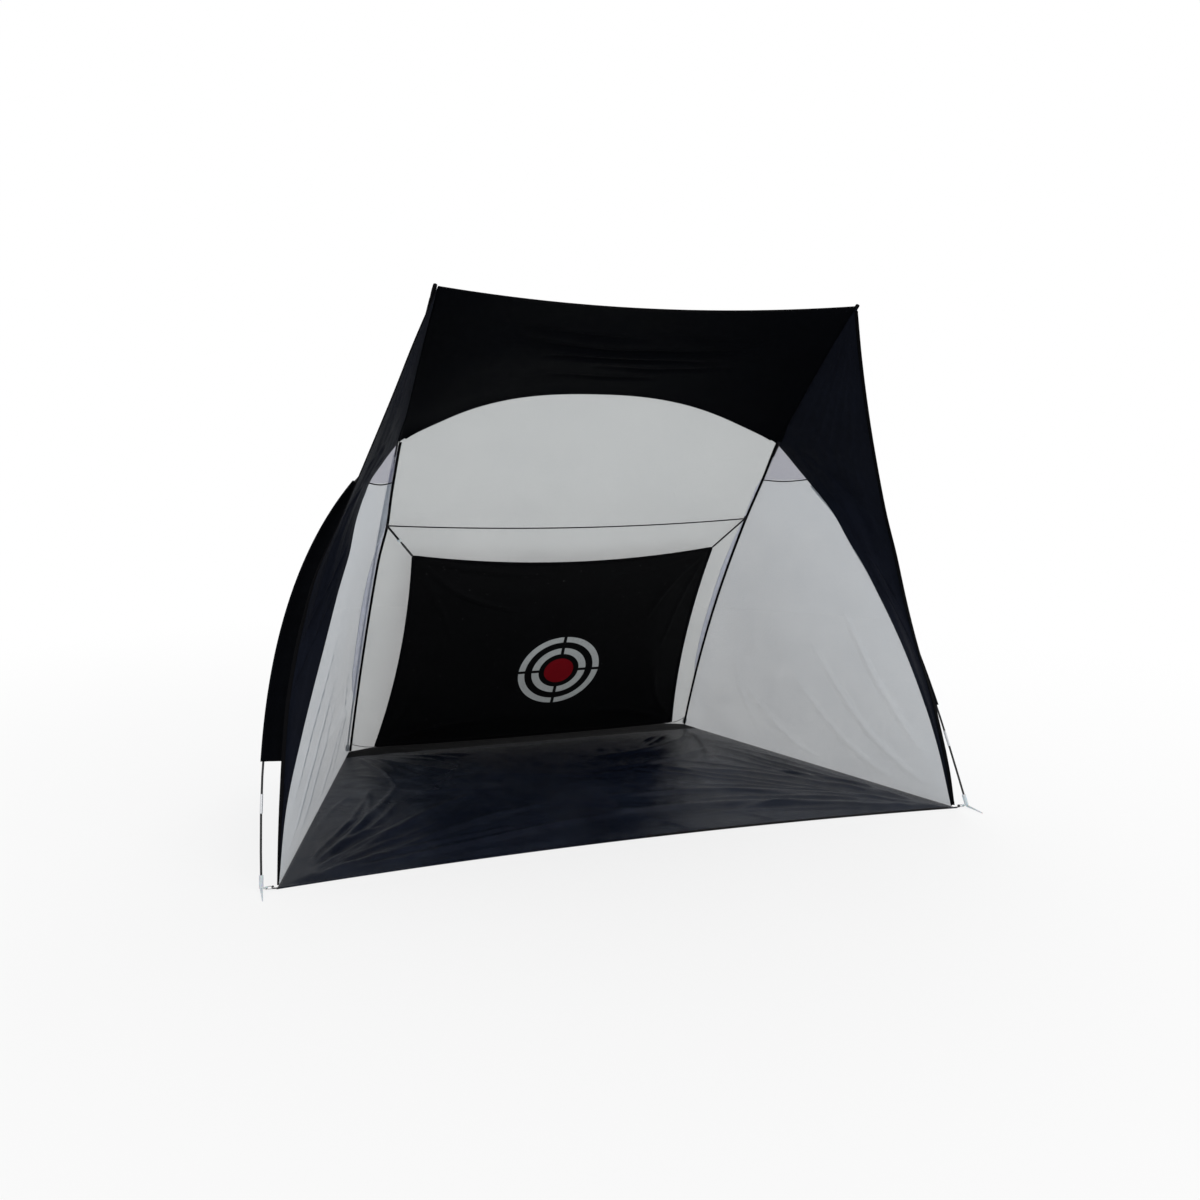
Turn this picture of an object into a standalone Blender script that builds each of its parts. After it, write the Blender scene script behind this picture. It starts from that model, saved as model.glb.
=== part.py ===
"""Golf chipping net: a bent-pole cage of cloth and netting with a hanging target.

Metres, +Z up. X = 0 is the plane of symmetry, the open mouth faces -Y, and the origin lies on the
ground in the middle of the floor sheet. Heights are measured from the ground, and depths ("back")
from the line between the floor's two front corners.
"""

import math

import bpy
import numpy as np

# Cage
TOP_HEIGHT = 2.10  # top front corners
TOP_WIDTH = 1.73
TOP_OVERHANG = 0.114  # top corners in front of the floor's front corners
TOP_EDGE_SAG = 0.075  # hollow of the top edge, measured in the roof's own slope
FLOOR_FRONT_WIDTH = 2.854
FLOOR_REAR_WIDTH = 1.93
FLOOR_DEPTH = 1.50
FLOOR_FRONT_BOW = 0.065  # hollow of the floor's front edge
CROSSING_HEIGHT = 1.57  # where the hoop passes over the rear poles

# Hoop pole: half a superellipse that leans back
HOOP_WIDTH = 2.96
HOOP_HEIGHT = 1.82
HOOP_POWER = 2.45
HOOP_LEAN = 0.40  # back per metre of height, at the ground
HOOP_LEAN_EASE = 0.1092  # how the lean eases with the square of the height, over the hoop's height
HOOP_START_HEIGHT = 0.012  # lower ends of the hoop's rods

# Rods, ferrules and sleeves
ROD_RADIUS = 0.0043
ROD_END_GAP = 0.0006  # between two rods inside a ferrule
FIT_GAP = 0.0004  # between a rod and what holds it
FERRULE_WALL = 0.0008
FERRULE_LENGTH = 0.065
HOOP_FIRST_ROD = 0.271  # short rod at each foot
HOOP_RODS = 7
REAR_RODS = 3
SLEEVE_WALL = 0.0009
SLEEVE_EASE = 0.0012  # sleeve bore over the ferrules, on the radius

# Cloth and net
CLOTH = 0.0008  # thickness of every sheet
SEAM_GAP = 0.0003  # between pieces that are sewn together
EDGE_INSET = 0.0009  # a panel's edge, back from its seam line
FLOOR_LIP = 0.0016  # floor sheet past the foot of the nets
CORNER_BARE = 0.026  # stretch of the floor's edge without net at each front corner
NET_SEAM_HEIGHT = 1.405  # cross seam between the large and small side nets
APEX_DROP = 0.012  # top of the small side nets, under the crossing
FREE_FOOT_INSIDE = 0.003  # lower end of a side band's free edge, from the floor's front corner
FREE_FOOT_BACK = 0.014
FREE_FOOT_HEIGHT = 0.012
GUSSET_TOP_HEIGHT = 1.41  # upper end of the hoop's side sleeves
GUSSET_FOOT_HEIGHT = 0.40  # lower end of the hoop's side sleeves
GUSSET_RISE = 0.0034  # inner edge of a gusset, off its seam line
REAR_GUSSET = 0.012  # rear pole's centre line, outside its seam
ROOF_GUSSET = 0.029  # hoop's centre line, outside the arch seam
WEB_RISE = 0.0003  # inner edge of the narrow sleeve webs, off their seam line
ROOF_WEB_RISE = 0.0010
BEND_HEIGHT = 1.222  # where straps and cross cord pull on the rear seams
BEND_PULL = 0.012
BEND_SPREAD = 0.11
SLEEVE_FOOT_HEIGHT = 0.30  # lower end of the pale rear sleeves
CROSSING_CLEAR = 0.040  # length by which every sleeve stops short of the crossing
REAR_NET_SAG = 0.055
SIDE_NET_SAG = 0.020
ROOF_FOLD = 0.010  # height of the roof's wrinkles
BAND_FOLD = 0.009  # height of the side bands' long folds
FLOOR_FOLD = 0.009  # height of the folds that run out from the floor's front corners
FLOOR_FOLD_TURNS = 9  # how closely these folds follow each other around the corner
FLOOR_FOLD_REACH = 0.9  # their height falls away over this distance
ROOF_FOLD_WAY = (0.0, 0.45, 0.89)  # ways in which folds and sags stand off their sheets
BAND_FOLD_WAY = (0.41, 0.91, 0.0)
REAR_SAG_WAY = (0.0, -0.85, -0.53)

# Target
TARGET_TOP_WIDTH = 1.532
TARGET_TOP_HEIGHT = 1.073
TARGET_TOP_BACK = 0.825
TARGET_BOTTOM_WIDTH = 1.694
TARGET_BOTTOM_HEIGHT = 0.042
TARGET_BOTTOM_BACK = 1.416
TARGET_TOP_HOLLOW = 0.065
TARGET_SIDE_HOLLOW = 0.038
TARGET_BOTTOM_HOLLOW = 0.008
TARGET_BILLOW = 0.022  # the cloth's middle, in front of its corners
TARGET_BILLOW_EDGE = 0.20  # the billow is full at this distance from the edges

# Fittings
FOOT_WALL = 0.0035
FOOT_LENGTH = 0.042
FOOT_SEAT = 0.0045  # plastic under the rod's end
TOE_REACH = 0.080  # the toe's point, in front of the floor's front corners
TOE_ROOT_RADIUS = 0.0050
TOE_POINT_RADIUS = 0.0016
TOE_ROOT_BACK = 0.004
EYE_BORE = 0.0026
EYE_WALL = 0.0026
EYE_THICKNESS = 0.004
EYE_BACK = 0.005
RING_INSIDE = 0.028  # ring's middle, inside the hoop's end
RING_RADIUS = 0.011
RING_WIRE = 0.0015
RING_HEIGHT = 0.0068
LOOP_BORE = 0.0032
LOOP_WALL = 0.0014
LOOP_WIDTH = 0.008
TAB_HOLD = 0.012  # webbing tab over the floor's corner
TAB_THICKNESS = 0.0018
CUP_RADIUS = 0.0094
CUP_HEIGHT = 0.034
CUP_START_HEIGHT = 0.0045
CUP_SEAT = 0.003
POCKET_LENGTH = 0.062
POCKET_WALL = 0.0026
POCKET_END = 0.004

# Straps, ties and the cross cord
STRAP_WIDTH = 0.010
STRAP_THICKNESS = 0.0016
STRAP_END_GAP = 0.0006
ANCHOR_RADIUS = 0.005
ANCHOR_HALF_LENGTH = 0.006
SLIDER_LENGTH = 0.016
SLIDER_WALL = 0.0022
SLIDER_FROM_ANCHOR = 0.105
CORD_RADIUS = 0.0030
CORD_SAG = 0.026
TIE_RADIUS = 0.0015
TIE_SAG = 0.006
TIE_END_GAP = 0.0008
TIE_HEIGHT = 0.05  # where the bottom ties meet the rear seams
BEND_CORNER = 1.2  # reach into the corner of the nets over a piece's radius, at the bend
FOOT_CORNER = 1.4  # and near the ground, where the corner is narrower

# Fineness of the drawing
ROD_SIDES = 8
EYE_SIDES = 12
BAND_COLUMNS = 7
NET_COLUMNS = 9
UPPER_NET_COLUMNS = 3
FLOOR_COLUMNS = 21
FLOOR_ROWS = 13
SEAM_STEPS = 12
UPPER_STEPS = 2
DIAGONAL_STEPS = 6
ARCH_STEPS = 20
CORD_STEPS = 40
TIE_STEPS = 12
TARGET_COLUMNS = 18
TARGET_ROWS = 12

# Sizes that follow from those above
FERRULE_BORE = ROD_RADIUS + FIT_GAP
FERRULE_RADIUS = FERRULE_BORE + FERRULE_WALL
SLEEVE_BORE = FERRULE_RADIUS + SLEEVE_EASE
SLEEVE_RADIUS = SLEEVE_BORE + SLEEVE_WALL
FOOT_RADIUS = ROD_RADIUS + FIT_GAP + FOOT_WALL
FLOOR_TOP = CLOTH
NET_FOOT = FLOOR_TOP + 2 * SEAM_GAP
RIGHT, LEFT = 1, -1
SIDE_NAMES = {LEFT: "left", RIGHT: "right"}

# Colour, roughness and metallic value of each finish
FINISHES = {
    "black_cloth": ((0.012, 0.012, 0.014), 0.62, 0.0),
    "floor_cloth": ((0.016, 0.017, 0.021), 0.38, 0.0),
    "target_cloth": ((0.010, 0.011, 0.012), 0.58, 0.0),
    "white_net": ((0.78, 0.80, 0.84), 0.70, 0.0),
    "pale_sleeve": ((0.62, 0.64, 0.70), 0.75, 0.0),
    "black_rod": ((0.014, 0.014, 0.015), 0.35, 0.0),
    "ferrule_metal": ((0.72, 0.73, 0.75), 0.28, 1.0),
    "pale_plastic": ((0.66, 0.74, 0.80), 0.35, 0.0),
    "ring_steel": ((0.55, 0.56, 0.58), 0.30, 1.0),
    "black_webbing": ((0.015, 0.015, 0.016), 0.80, 0.0),
}


# Points and lines


def at(right, back, height):
    """A point from its distance right, back of the front line, and height."""
    return np.array([right, back - FLOOR_DEPTH / 2, height])


def unit(vector):
    return vector / np.linalg.norm(vector)


def to_side(points, side):
    """Points of the right half, at a share of their distance from the middle, or mirrored for the left."""
    return np.array(points) * np.array([side, 1, 1])


def read_line(value, values, points):
    """The point at a value that rises along a line of points."""
    return np.array([np.interp(value, values, np.array(points)[:, axis]) for axis in range(3)])


class Route:
    """A line through many points, read by the length along it."""

    def __init__(self, points):
        self.points = np.array(points, float)
        steps = np.linalg.norm(np.diff(self.points, axis=0), axis=1)
        self.marks = np.concatenate([[0.0], np.cumsum(steps)])
        self.length = self.marks[-1]
        self.slopes = np.gradient(self.points, self.marks, axis=0)

    def at(self, mark):
        return read_line(mark, self.marks, self.points)

    def direction(self, mark):
        return unit(read_line(mark, self.marks, self.slopes))

    def stations(self, start, stop, least=0.004):
        """The marks of the line's points between two marks, and those two."""
        inner = [mark for mark in self.marks if start + least < mark < stop - least]
        return [start, *inner, stop]

    def rising_mark(self, height):
        """The mark where the line first rises past a height."""
        top = int(np.argmax(self.points[:, 2]))
        return float(np.interp(height, self.points[: top + 1, 2], self.marks[: top + 1]))


def smooth_line(points, steps=12):
    """A Catmull-Rom line through the points."""
    given = [np.array(point, float) for point in points]
    ends = [2 * given[0] - given[1], *given, 2 * given[-1] - given[-2]]
    out = []
    for a, b, c, d in zip(ends, ends[1:], ends[2:], ends[3:]):
        for t in np.linspace(0.0, 1.0, steps, endpoint=False):
            start = 2 * b + (c - a) * t
            bend = (2 * a - 5 * b + 4 * c - d) * t**2 + (3 * b - a - 3 * c + d) * t**3
            out.append((start + bend) / 2)
    out.append(given[-1])
    return np.array(out)


# The hoop


def hoop_back(height):
    return HOOP_LEAN * height - HOOP_LEAN_EASE * height**2 / HOOP_HEIGHT


def hoop_point(height):
    """The hoop's centre at a height, on the right."""
    share = (height / HOOP_HEIGHT) ** HOOP_POWER
    return at(HOOP_WIDTH / 2 * (1 - share) ** (1 / HOOP_POWER), hoop_back(height), height)


def hoop_route():
    """The hoop's centre line, from its left end over the top to its right end."""
    turns = np.linspace(-math.pi / 2, math.pi / 2, 1601)
    power = 2 / HOOP_POWER
    rights = HOOP_WIDTH / 2 * np.sign(turns) * np.abs(np.sin(turns)) ** power
    heights = HOOP_HEIGHT * np.clip(np.cos(turns), 0.0, 1.0) ** power
    inside = heights > HOOP_START_HEIGHT
    points = [at(x, hoop_back(z), z) for x, z in zip(rights[inside], heights[inside])]
    end = hoop_point(HOOP_START_HEIGHT)
    return Route([to_side(end, LEFT), *points, end])


HOOP = hoop_route()


def hoop_outward(mark):
    """The way out of the cage, square to the hoop and in its own leaning plane."""
    along = HOOP.direction(mark)
    middle = at(0.0, hoop_back(HOOP_HEIGHT / 3), HOOP_HEIGHT / 3)
    away = HOOP.at(mark) - middle
    return unit(away - along * (away @ along))


def arch_seam_point(mark):
    return HOOP.at(mark) - hoop_outward(mark) * ROOF_GUSSET


LEFT_CROSSING = HOOP.rising_mark(CROSSING_HEIGHT)
RIGHT_CROSSING = HOOP.length - LEFT_CROSSING
CROSSING = arch_seam_point(RIGHT_CROSSING)
TOP_CORNER = at(TOP_WIDTH / 2, -TOP_OVERHANG, TOP_HEIGHT)
FRONT_CORNER = at(FLOOR_FRONT_WIDTH / 2, 0.0, 0.0)
REAR_CORNER = at(FLOOR_REAR_WIDTH / 2, FLOOR_DEPTH, 0.0)


# The rear poles


def circle_through(a, b, c):
    """Centre and radius of the circle through three points of a plane."""
    centre = np.linalg.solve(np.array([b - a, c - b]), np.array([b @ b - a @ a, c @ c - b @ b]) / 2)
    return centre, np.linalg.norm(a - centre)


BOW_CENTRE, BOW_RADIUS = circle_through(REAR_CORNER[1:], CROSSING[1:], TOP_CORNER[1:])
BOW_WIDTHS = np.polyfit(
    [REAR_CORNER[2], CROSSING[2], TOP_CORNER[2]], [REAR_CORNER[0], CROSSING[0], TOP_CORNER[0]], 2
)


def bow_point(height):
    """The rear seam's smooth line at a height, on the right, and the way out of the cage there."""
    rise = height - BOW_CENTRE[1]
    back = BOW_CENTRE[0] + math.sqrt(BOW_RADIUS**2 - rise**2)
    normal = unit(np.array([0.0, back - BOW_CENTRE[0], rise]))
    point = np.array([np.polyval(BOW_WIDTHS, height), back, height])
    return point, unit(np.array([1.0, 0.0, 0.0]) + normal)


def rear_seam_point(height):
    """The rear seam, drawn in a little where the straps pull on it."""
    point, outward = bow_point(height)
    pull = BEND_PULL * math.exp(-(((height - BEND_HEIGHT) / BEND_SPREAD) ** 2))
    return point - outward * pull


def pole_point(height):
    """The rear pole's centre, beside the seam's point at a height."""
    point, outward = bow_point(height)
    return point + outward * REAR_GUSSET


# Seams: every sheet and sleeve that meets at a seam uses its same straight steps

UPPER_LEVELS = np.linspace(CROSSING[2] - APEX_DROP, NET_SEAM_HEIGHT, UPPER_STEPS + 1)
LOWER_LEVELS = np.linspace(NET_SEAM_HEIGHT, NET_FOOT, SEAM_STEPS + 1)
LEVELS = np.concatenate([[CROSSING[2]], UPPER_LEVELS, LOWER_LEVELS[1:]])
DIAGONAL_LEVELS = np.linspace(CROSSING[2], TOP_HEIGHT, DIAGONAL_STEPS + 1)
ARCH_MARKS = np.linspace(LEFT_CROSSING, RIGHT_CROSSING, ARCH_STEPS + 1)

# The side seam at a few heights: height, inward and forward of the hoop, as shares of the hoop's height
SIDE_SEAM_SHAPE = (
    (0.8077, 0.0319, 0.0011),
    (0.7692, 0.0363, 0.0055),
    (0.6951, 0.0571, 0.0330),
    (0.6209, 0.0786, 0.0484),
    (0.5495, 0.0841, 0.0582),
    (0.4066, 0.0835, 0.0615),
    (0.2692, 0.0681, 0.0456),
    (0.1374, 0.0473, 0.0176),
)
# The side bands' free front edge: how far out from the top corner to the front corner, then back as
# a share of the floor's depth, and height as a share of the top corners' height
FREE_EDGE_SHAPE = (
    (0.1299, -0.0307, 0.9110),
    (0.2544, 0.0053, 0.8195),
    (0.3915, 0.0400, 0.7248),
    (0.5694, 0.0787, 0.6052),
    (0.7242, 0.1053, 0.5095),
    (0.8185, 0.1120, 0.4190),
    (0.8772, 0.1067, 0.3495),
    (0.9199, 0.0920, 0.2857),
    (0.9484, 0.0653, 0.2190),
    (0.9698, 0.0413, 0.1429),
    (0.9875, 0.0200, 0.0667),
)


def side_seam_line():
    """The seam of side net and side band, from the crossing down to the front corner."""
    foot = FRONT_CORNER + unit(REAR_CORNER - FRONT_CORNER) * CORNER_BARE
    points = [CROSSING]
    for height, inward, forward in SIDE_SEAM_SHAPE:
        offset = np.array([inward, forward, 0.0]) * HOOP_HEIGHT
        points.append(hoop_point(height * HOOP_HEIGHT) - offset)
    points.append(np.array([foot[0], foot[1], NET_FOOT]))
    return smooth_line(points)


def free_edge_line():
    """The band's front edge, from the top corner down to the front corner."""
    foot = FRONT_CORNER + np.array([-FREE_FOOT_INSIDE, FREE_FOOT_BACK, FREE_FOOT_HEIGHT])
    middle = []
    for share, back, height in FREE_EDGE_SHAPE:
        right = TOP_CORNER[0] + share * (FRONT_CORNER[0] - TOP_CORNER[0])
        middle.append(at(right, back * FLOOR_DEPTH, height * TOP_HEIGHT))
    return Route(smooth_line([TOP_CORNER, *middle, foot]))


SIDE_LINE = side_seam_line()
SIDE_SEAM = [read_line(level, SIDE_LINE[::-1, 2], SIDE_LINE[::-1]) for level in LEVELS]
REAR_SEAM = [CROSSING, *(rear_seam_point(level) for level in LEVELS[1:])]
DIAGONAL = [CROSSING, *(rear_seam_point(level) for level in DIAGONAL_LEVELS[1:])]
ARCH_SEAM = [arch_seam_point(mark) for mark in ARCH_MARKS]
ARCH_SEAM[0], ARCH_SEAM[-1] = to_side(CROSSING, LEFT), CROSSING


def rear_seam_at(height):
    """The stepped rear seam, below or above the crossing."""
    if height <= CROSSING[2]:
        return read_line(height, LEVELS[::-1], REAR_SEAM[::-1])
    return read_line(height, DIAGONAL_LEVELS, DIAGONAL)


def in_corner(height, radius, spread):
    """The middle of a round piece that lies in the corner between rear net and side net."""
    reach = (radius + CLOTH / 2 + SEAM_GAP) * spread
    return rear_seam_at(height) - bow_point(height)[1] * reach


# Routes of the poles, in the same steps as the seams beside them

SIDE_MARKS = [0.0, *(HOOP.rising_mark(level) for level in LEVELS[-2:0:-1])]
HOOP_MARKS = [*SIDE_MARKS, *ARCH_MARKS, *(HOOP.length - mark for mark in SIDE_MARKS[::-1])]
HOOP_BAR = Route([HOOP.at(mark) for mark in HOOP_MARKS])
RIGHT_BAR = Route(HOOP_BAR.points[::-1])
REAR_BAR = Route([pole_point(level) for level in [*LEVELS[::-1], *DIAGONAL_LEVELS[1:]]])
REAR_BAR_SEAM = [*REAR_SEAM[::-1], *DIAGONAL[1:]]
CROSSING_STEP = len(LEVELS) - 1
SIDE_CROSSING = RIGHT_BAR.marks[CROSSING_STEP]
REAR_CROSSING = REAR_BAR.marks[CROSSING_STEP]
HOOP_SIDEWAYS = unit(np.array([0.0, -1.0, HOOP_LEAN]))
ACROSS = np.array([1.0, 0.0, 0.0])
BACKWARD = np.array([0.0, 1.0, 0.0])
UPWARD = np.array([0.0, 0.0, 1.0])


# Meshes


def shares(lines):
    """How far along each step is, from 0 to 1, as a mean over the lines."""
    out = []
    for line in lines:
        steps = np.linalg.norm(np.diff(np.array(line), axis=0), axis=1)
        out.append(np.concatenate([[0.0], np.cumsum(steps)]) / steps.sum())
    return np.mean(out, axis=0)


def filled(top, bottom, left, right):
    """A grid of points between four lines: top and bottom run right, left and right run down."""
    top, bottom, left, right = (np.array(line, float) for line in (top, bottom, left, right))
    s = shares((top, bottom))[None, :, None]
    t = shares((left, right))[:, None, None]
    across = (1 - s) * left[:, None] + s * right[:, None]
    down = (1 - t) * top[None] + t * bottom[None]
    corners = (1 - t) * ((1 - s) * top[0] + s * top[-1]) + t * ((1 - s) * bottom[0] + s * bottom[-1])
    return across + down - corners


def grid_shares(grid):
    """The places of a grid's points along its rows and down its columns, from 0 to 1."""
    s = shares([grid[0], grid[-1]])[None, :] * np.ones((len(grid), 1))
    t = shares([grid[:, 0], grid[:, -1]])[:, None] * np.ones((1, grid.shape[1]))
    return s, t


def shrunk(grid, top=EDGE_INSET, bottom=EDGE_INSET, left=EDGE_INSET, right=EDGE_INSET):
    """The grid with its four edges moved in by the given distances."""

    def step(near, far, by):
        way = far - near
        return by * way / np.linalg.norm(way, axis=1, keepdims=True)

    out = grid.copy()
    out[0] += step(grid[0], grid[1], top)
    out[-1] += step(grid[-1], grid[-2], bottom)
    out[:, 0] += step(grid[:, 0], grid[:, 1], left)
    out[:, -1] += step(grid[:, -1], grid[:, -2], right)
    return out


def finished(name, finish):
    """A material of the object's own in one of the finishes."""
    colour, roughness, metallic = FINISHES[finish]
    material = bpy.data.materials.new(f"{name}_{finish}")
    material.use_nodes = True
    shader = material.node_tree.nodes["Principled BSDF"]
    shader.inputs["Base Color"].default_value = (*colour, 1.0)
    shader.inputs["Roughness"].default_value = roughness
    shader.inputs["Metallic"].default_value = metallic
    material.diffuse_color = (*colour, 1.0)
    return material


def add_object(name, data, finish):
    made = bpy.data.objects.new(name, data)
    bpy.context.collection.objects.link(made)
    data.materials.append(finished(name, finish))
    return made


def mesh_object(name, points, faces, finish, origin=(0.0, 0.0, 0.0), smooth=True):
    """An object from points and faces, with its origin where it turns or slides."""
    mesh = bpy.data.meshes.new(name)
    mesh.from_pydata([tuple(np.array(point) - np.array(origin)) for point in points], [], faces)
    mesh.update()
    if smooth:
        mesh.shade_smooth()
        mesh.set_sharp_from_angle(angle=math.radians(40))
    made = add_object(name, mesh, finish)
    made.location = tuple(origin)
    return made


def sheet(name, grid, finish, thickness=CLOTH, origin=(0.0, 0.0, 0.0)):
    """A cloth sheet: the grid, cut into triangles and thickened equally to both sides."""
    rows, columns = grid.shape[:2]
    faces = []
    for i in range(rows - 1):
        for j in range(columns - 1):
            a, b = i * columns + j, i * columns + j + 1
            c, d = a + columns, b + columns
            faces += [(a, c, b), (b, c, d)] if (i + j) % 2 else [(a, c, d), (a, d, b)]
    made = mesh_object(name, grid.reshape(-1, 3), faces, finish, origin)
    solid = made.modifiers.new("thickness", "SOLIDIFY")
    solid.thickness = thickness
    solid.offset = 0.0
    return made


def ring_points(centre, along, toward, radius, sides=ROD_SIDES, turn=0.5):
    """Points of a ring square to a line, counted from the given way."""
    first = unit(toward - along * (toward @ along))
    second = np.cross(along, first)
    angles = [2 * math.pi * (k + turn) / sides for k in range(sides)]
    return [centre + radius * (math.cos(a) * first + math.sin(a) * second) for a in angles]


def ring_faces(start, end, sides, flip=False):
    """Quads between two rings of points."""
    faces = []
    for k in range(sides):
        n = (k + 1) % sides
        face = (start + k, start + n, end + n, end + k)
        faces.append(face[::-1] if flip else face)
    return faces


def solid_tube(centres, alongs, toward, radius):
    """Points and faces of a full round bar."""
    points, faces = [], []
    for centre, along in zip(centres, alongs):
        points += ring_points(centre, along, toward, radius)
    for i in range(len(centres) - 1):
        faces += ring_faces(i * ROD_SIDES, (i + 1) * ROD_SIDES, ROD_SIDES)
    last = (len(centres) - 1) * ROD_SIDES
    faces.append(tuple(range(ROD_SIDES))[::-1])
    faces.append(tuple(range(last, last + ROD_SIDES)))
    return points, faces


def hollow_tube(centres, alongs, toward, radius, bore):
    """Points and faces of an open pipe."""
    points, faces = [], []
    for centre, along in zip(centres, alongs):
        points += ring_points(centre, along, toward, radius)
        points += ring_points(centre, along, toward, bore)
    step = 2 * ROD_SIDES
    for i in range(len(centres) - 1):
        faces += ring_faces(i * step, (i + 1) * step, ROD_SIDES)
        faces += ring_faces(i * step + ROD_SIDES, (i + 1) * step + ROD_SIDES, ROD_SIDES, flip=True)
    last = (len(centres) - 1) * step
    faces += ring_faces(0, ROD_SIDES, ROD_SIDES, flip=True)
    faces += ring_faces(last, last + ROD_SIDES, ROD_SIDES)
    return points, faces


def closed_pipe(route, closed_end, seat, open_end, radius, toward):
    """Points and faces of a pipe around a rod, from its closed end past a seat to its open end."""
    forward = 1 if open_end > closed_end else -1
    marks = [closed_end, closed_end + forward * seat, open_end]
    alongs = [route.direction(mark) * forward for mark in marks]
    centres = [route.at(mark) for mark in marks]
    bore = ROD_RADIUS + FIT_GAP
    rings = [ring_points(c, a, toward, radius) for c, a in zip(centres, alongs)]
    rings += [ring_points(c, a, toward, bore) for c, a in zip(centres[1:], alongs[1:])]
    n = ROD_SIDES
    faces = ring_faces(0, n, n) + ring_faces(n, 2 * n, n)
    faces += ring_faces(3 * n, 4 * n, n, flip=True) + ring_faces(2 * n, 4 * n, n)
    faces.append(tuple(range(n))[::-1])
    faces.append(tuple(range(3 * n, 4 * n)))
    return [point for ring in rings for point in ring], faces


def swept(route, start, stop, toward, radius, bore=None):
    """A rod, or a pipe if it has a bore, along a stretch of a route."""
    marks = route.stations(start, stop)
    centres = [route.at(mark) for mark in marks]
    alongs = [route.direction(mark) for mark in marks]
    if bore is None:
        return solid_tube(centres, alongs, toward, radius)
    return hollow_tube(centres, alongs, toward, radius, bore)


def sided(solid, side):
    """A right-hand solid as it is, or mirrored for the left."""
    points, faces = solid
    if side == RIGHT:
        return points, faces
    return list(to_side(points, LEFT)), [face[::-1] for face in faces]


def box(corner, way_a, way_b, way_c):
    """A block from one corner along three ways, which turn as the right hand's fingers do."""
    points = [corner + i * way_a + j * way_b + k * way_c for k in (0, 1) for j in (0, 1) for i in (0, 1)]
    faces = [(0, 2, 3, 1), (4, 5, 7, 6), (0, 1, 5, 4), (2, 6, 7, 3), (0, 4, 6, 2), (1, 3, 7, 5)]
    return points, faces


def cylinder(start, end, toward, radius, end_radius=None, sides=ROD_SIDES):
    """A round bar or cone from one point to another."""
    along = unit(end - start)
    points = ring_points(start, along, toward, radius, sides)
    points += ring_points(end, along, toward, end_radius or radius, sides)
    faces = ring_faces(0, sides, sides)
    faces += [tuple(range(sides))[::-1], tuple(range(sides, 2 * sides))]
    return points, faces


def torus(centre, radius, wire, around=16, sides=ROD_SIDES):
    """A level ring of round wire."""
    points, faces = [], []
    for turn in np.linspace(0.0, 2 * math.pi, around, endpoint=False):
        out = np.array([math.cos(turn), math.sin(turn), 0.0])
        along = np.array([-math.sin(turn), math.cos(turn), 0.0])
        points += ring_points(centre + out * radius, along, out, wire, sides)
    for i in range(around):
        faces += ring_faces(i * sides, (i + 1) % around * sides, sides)
    return points, faces


def build_solid(name, solid, finish, origin=(0.0, 0.0, 0.0), smooth=True):
    points, faces = solid
    return mesh_object(name, points, faces, finish, origin, smooth)


def combine(base, name, solid, operation):
    """Adds a guide shape to a base, or cuts it from the base."""
    guide = build_solid(name, solid, "pale_plastic", smooth=False)
    guide.hide_render = True
    guide.display_type = "WIRE"
    change = base.modifiers.new(name, "BOOLEAN")
    change.operation = operation
    change.solver = "EXACT"
    change.object = guide


def cord(name, points, radius, finish):
    """A round cord along a line of points."""
    data = bpy.data.curves.new(name, "CURVE")
    data.dimensions = "3D"
    data.bevel_depth = radius
    data.bevel_resolution = 2
    data.use_fill_caps = True
    spline = data.splines.new("POLY")
    spline.points.add(len(points) - 1)
    for place, point in zip(spline.points, points):
        place.co = (*point, 1.0)
    return add_object(name, data, finish)


# Rods and their ferrules


def rod_breaks(start, stop, count, first=None):
    """The marks where a pole's rods meet, with its two ends."""
    if first is None:
        return list(np.linspace(start, stop, count + 1))
    inner = np.linspace(start + first, stop - first, count - 1)
    return [start, *inner, stop]


def build_pole(route, breaks, toward, names, side):
    """The rods of one pole, with a small gap where two meet."""
    for name, start, stop in zip(names, breaks, breaks[1:]):
        near = start if start == breaks[0] else start + ROD_END_GAP / 2
        far = stop if stop == breaks[-1] else stop - ROD_END_GAP / 2
        build_solid(name, sided(swept(route, near, far, toward, ROD_RADIUS), side), "black_rod")


def build_ferrules(route, breaks, toward, name, side):
    """The short metal pipes around the places where two rods meet."""
    for number, middle in enumerate(breaks[1:-1], 1):
        start, stop = middle - FERRULE_LENGTH / 2, middle + FERRULE_LENGTH / 2
        pipe = swept(route, start, stop, toward, FERRULE_RADIUS, FERRULE_BORE)
        build_solid(f"{name}_{number}", sided(pipe, side), "ferrule_metal")


def build_hoop():
    breaks = rod_breaks(0.0, HOOP_BAR.length, HOOP_RODS, HOOP_FIRST_ROD)
    names = [f"hoop_rod_{number}" for number in range(1, HOOP_RODS + 1)]
    build_pole(HOOP_BAR, breaks, HOOP_SIDEWAYS, names, RIGHT)
    build_ferrules(HOOP_BAR, breaks, HOOP_SIDEWAYS, "hoop_ferrule", RIGHT)


def build_rear_poles():
    start = REAR_BAR.rising_mark(CUP_START_HEIGHT) + CUP_SEAT + FIT_GAP
    stop = REAR_BAR.length - POCKET_END - FIT_GAP
    breaks = rod_breaks(start, stop, REAR_RODS)
    for side, word in SIDE_NAMES.items():
        names = [f"rear_rod_{word}_{number}" for number in range(1, REAR_RODS + 1)]
        build_pole(REAR_BAR, breaks, ACROSS, names, side)
        build_ferrules(REAR_BAR, breaks, ACROSS, f"rear_ferrule_{word}", side)


# Sleeves, each a pipe with a flat web that is sewn to a seam


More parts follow.
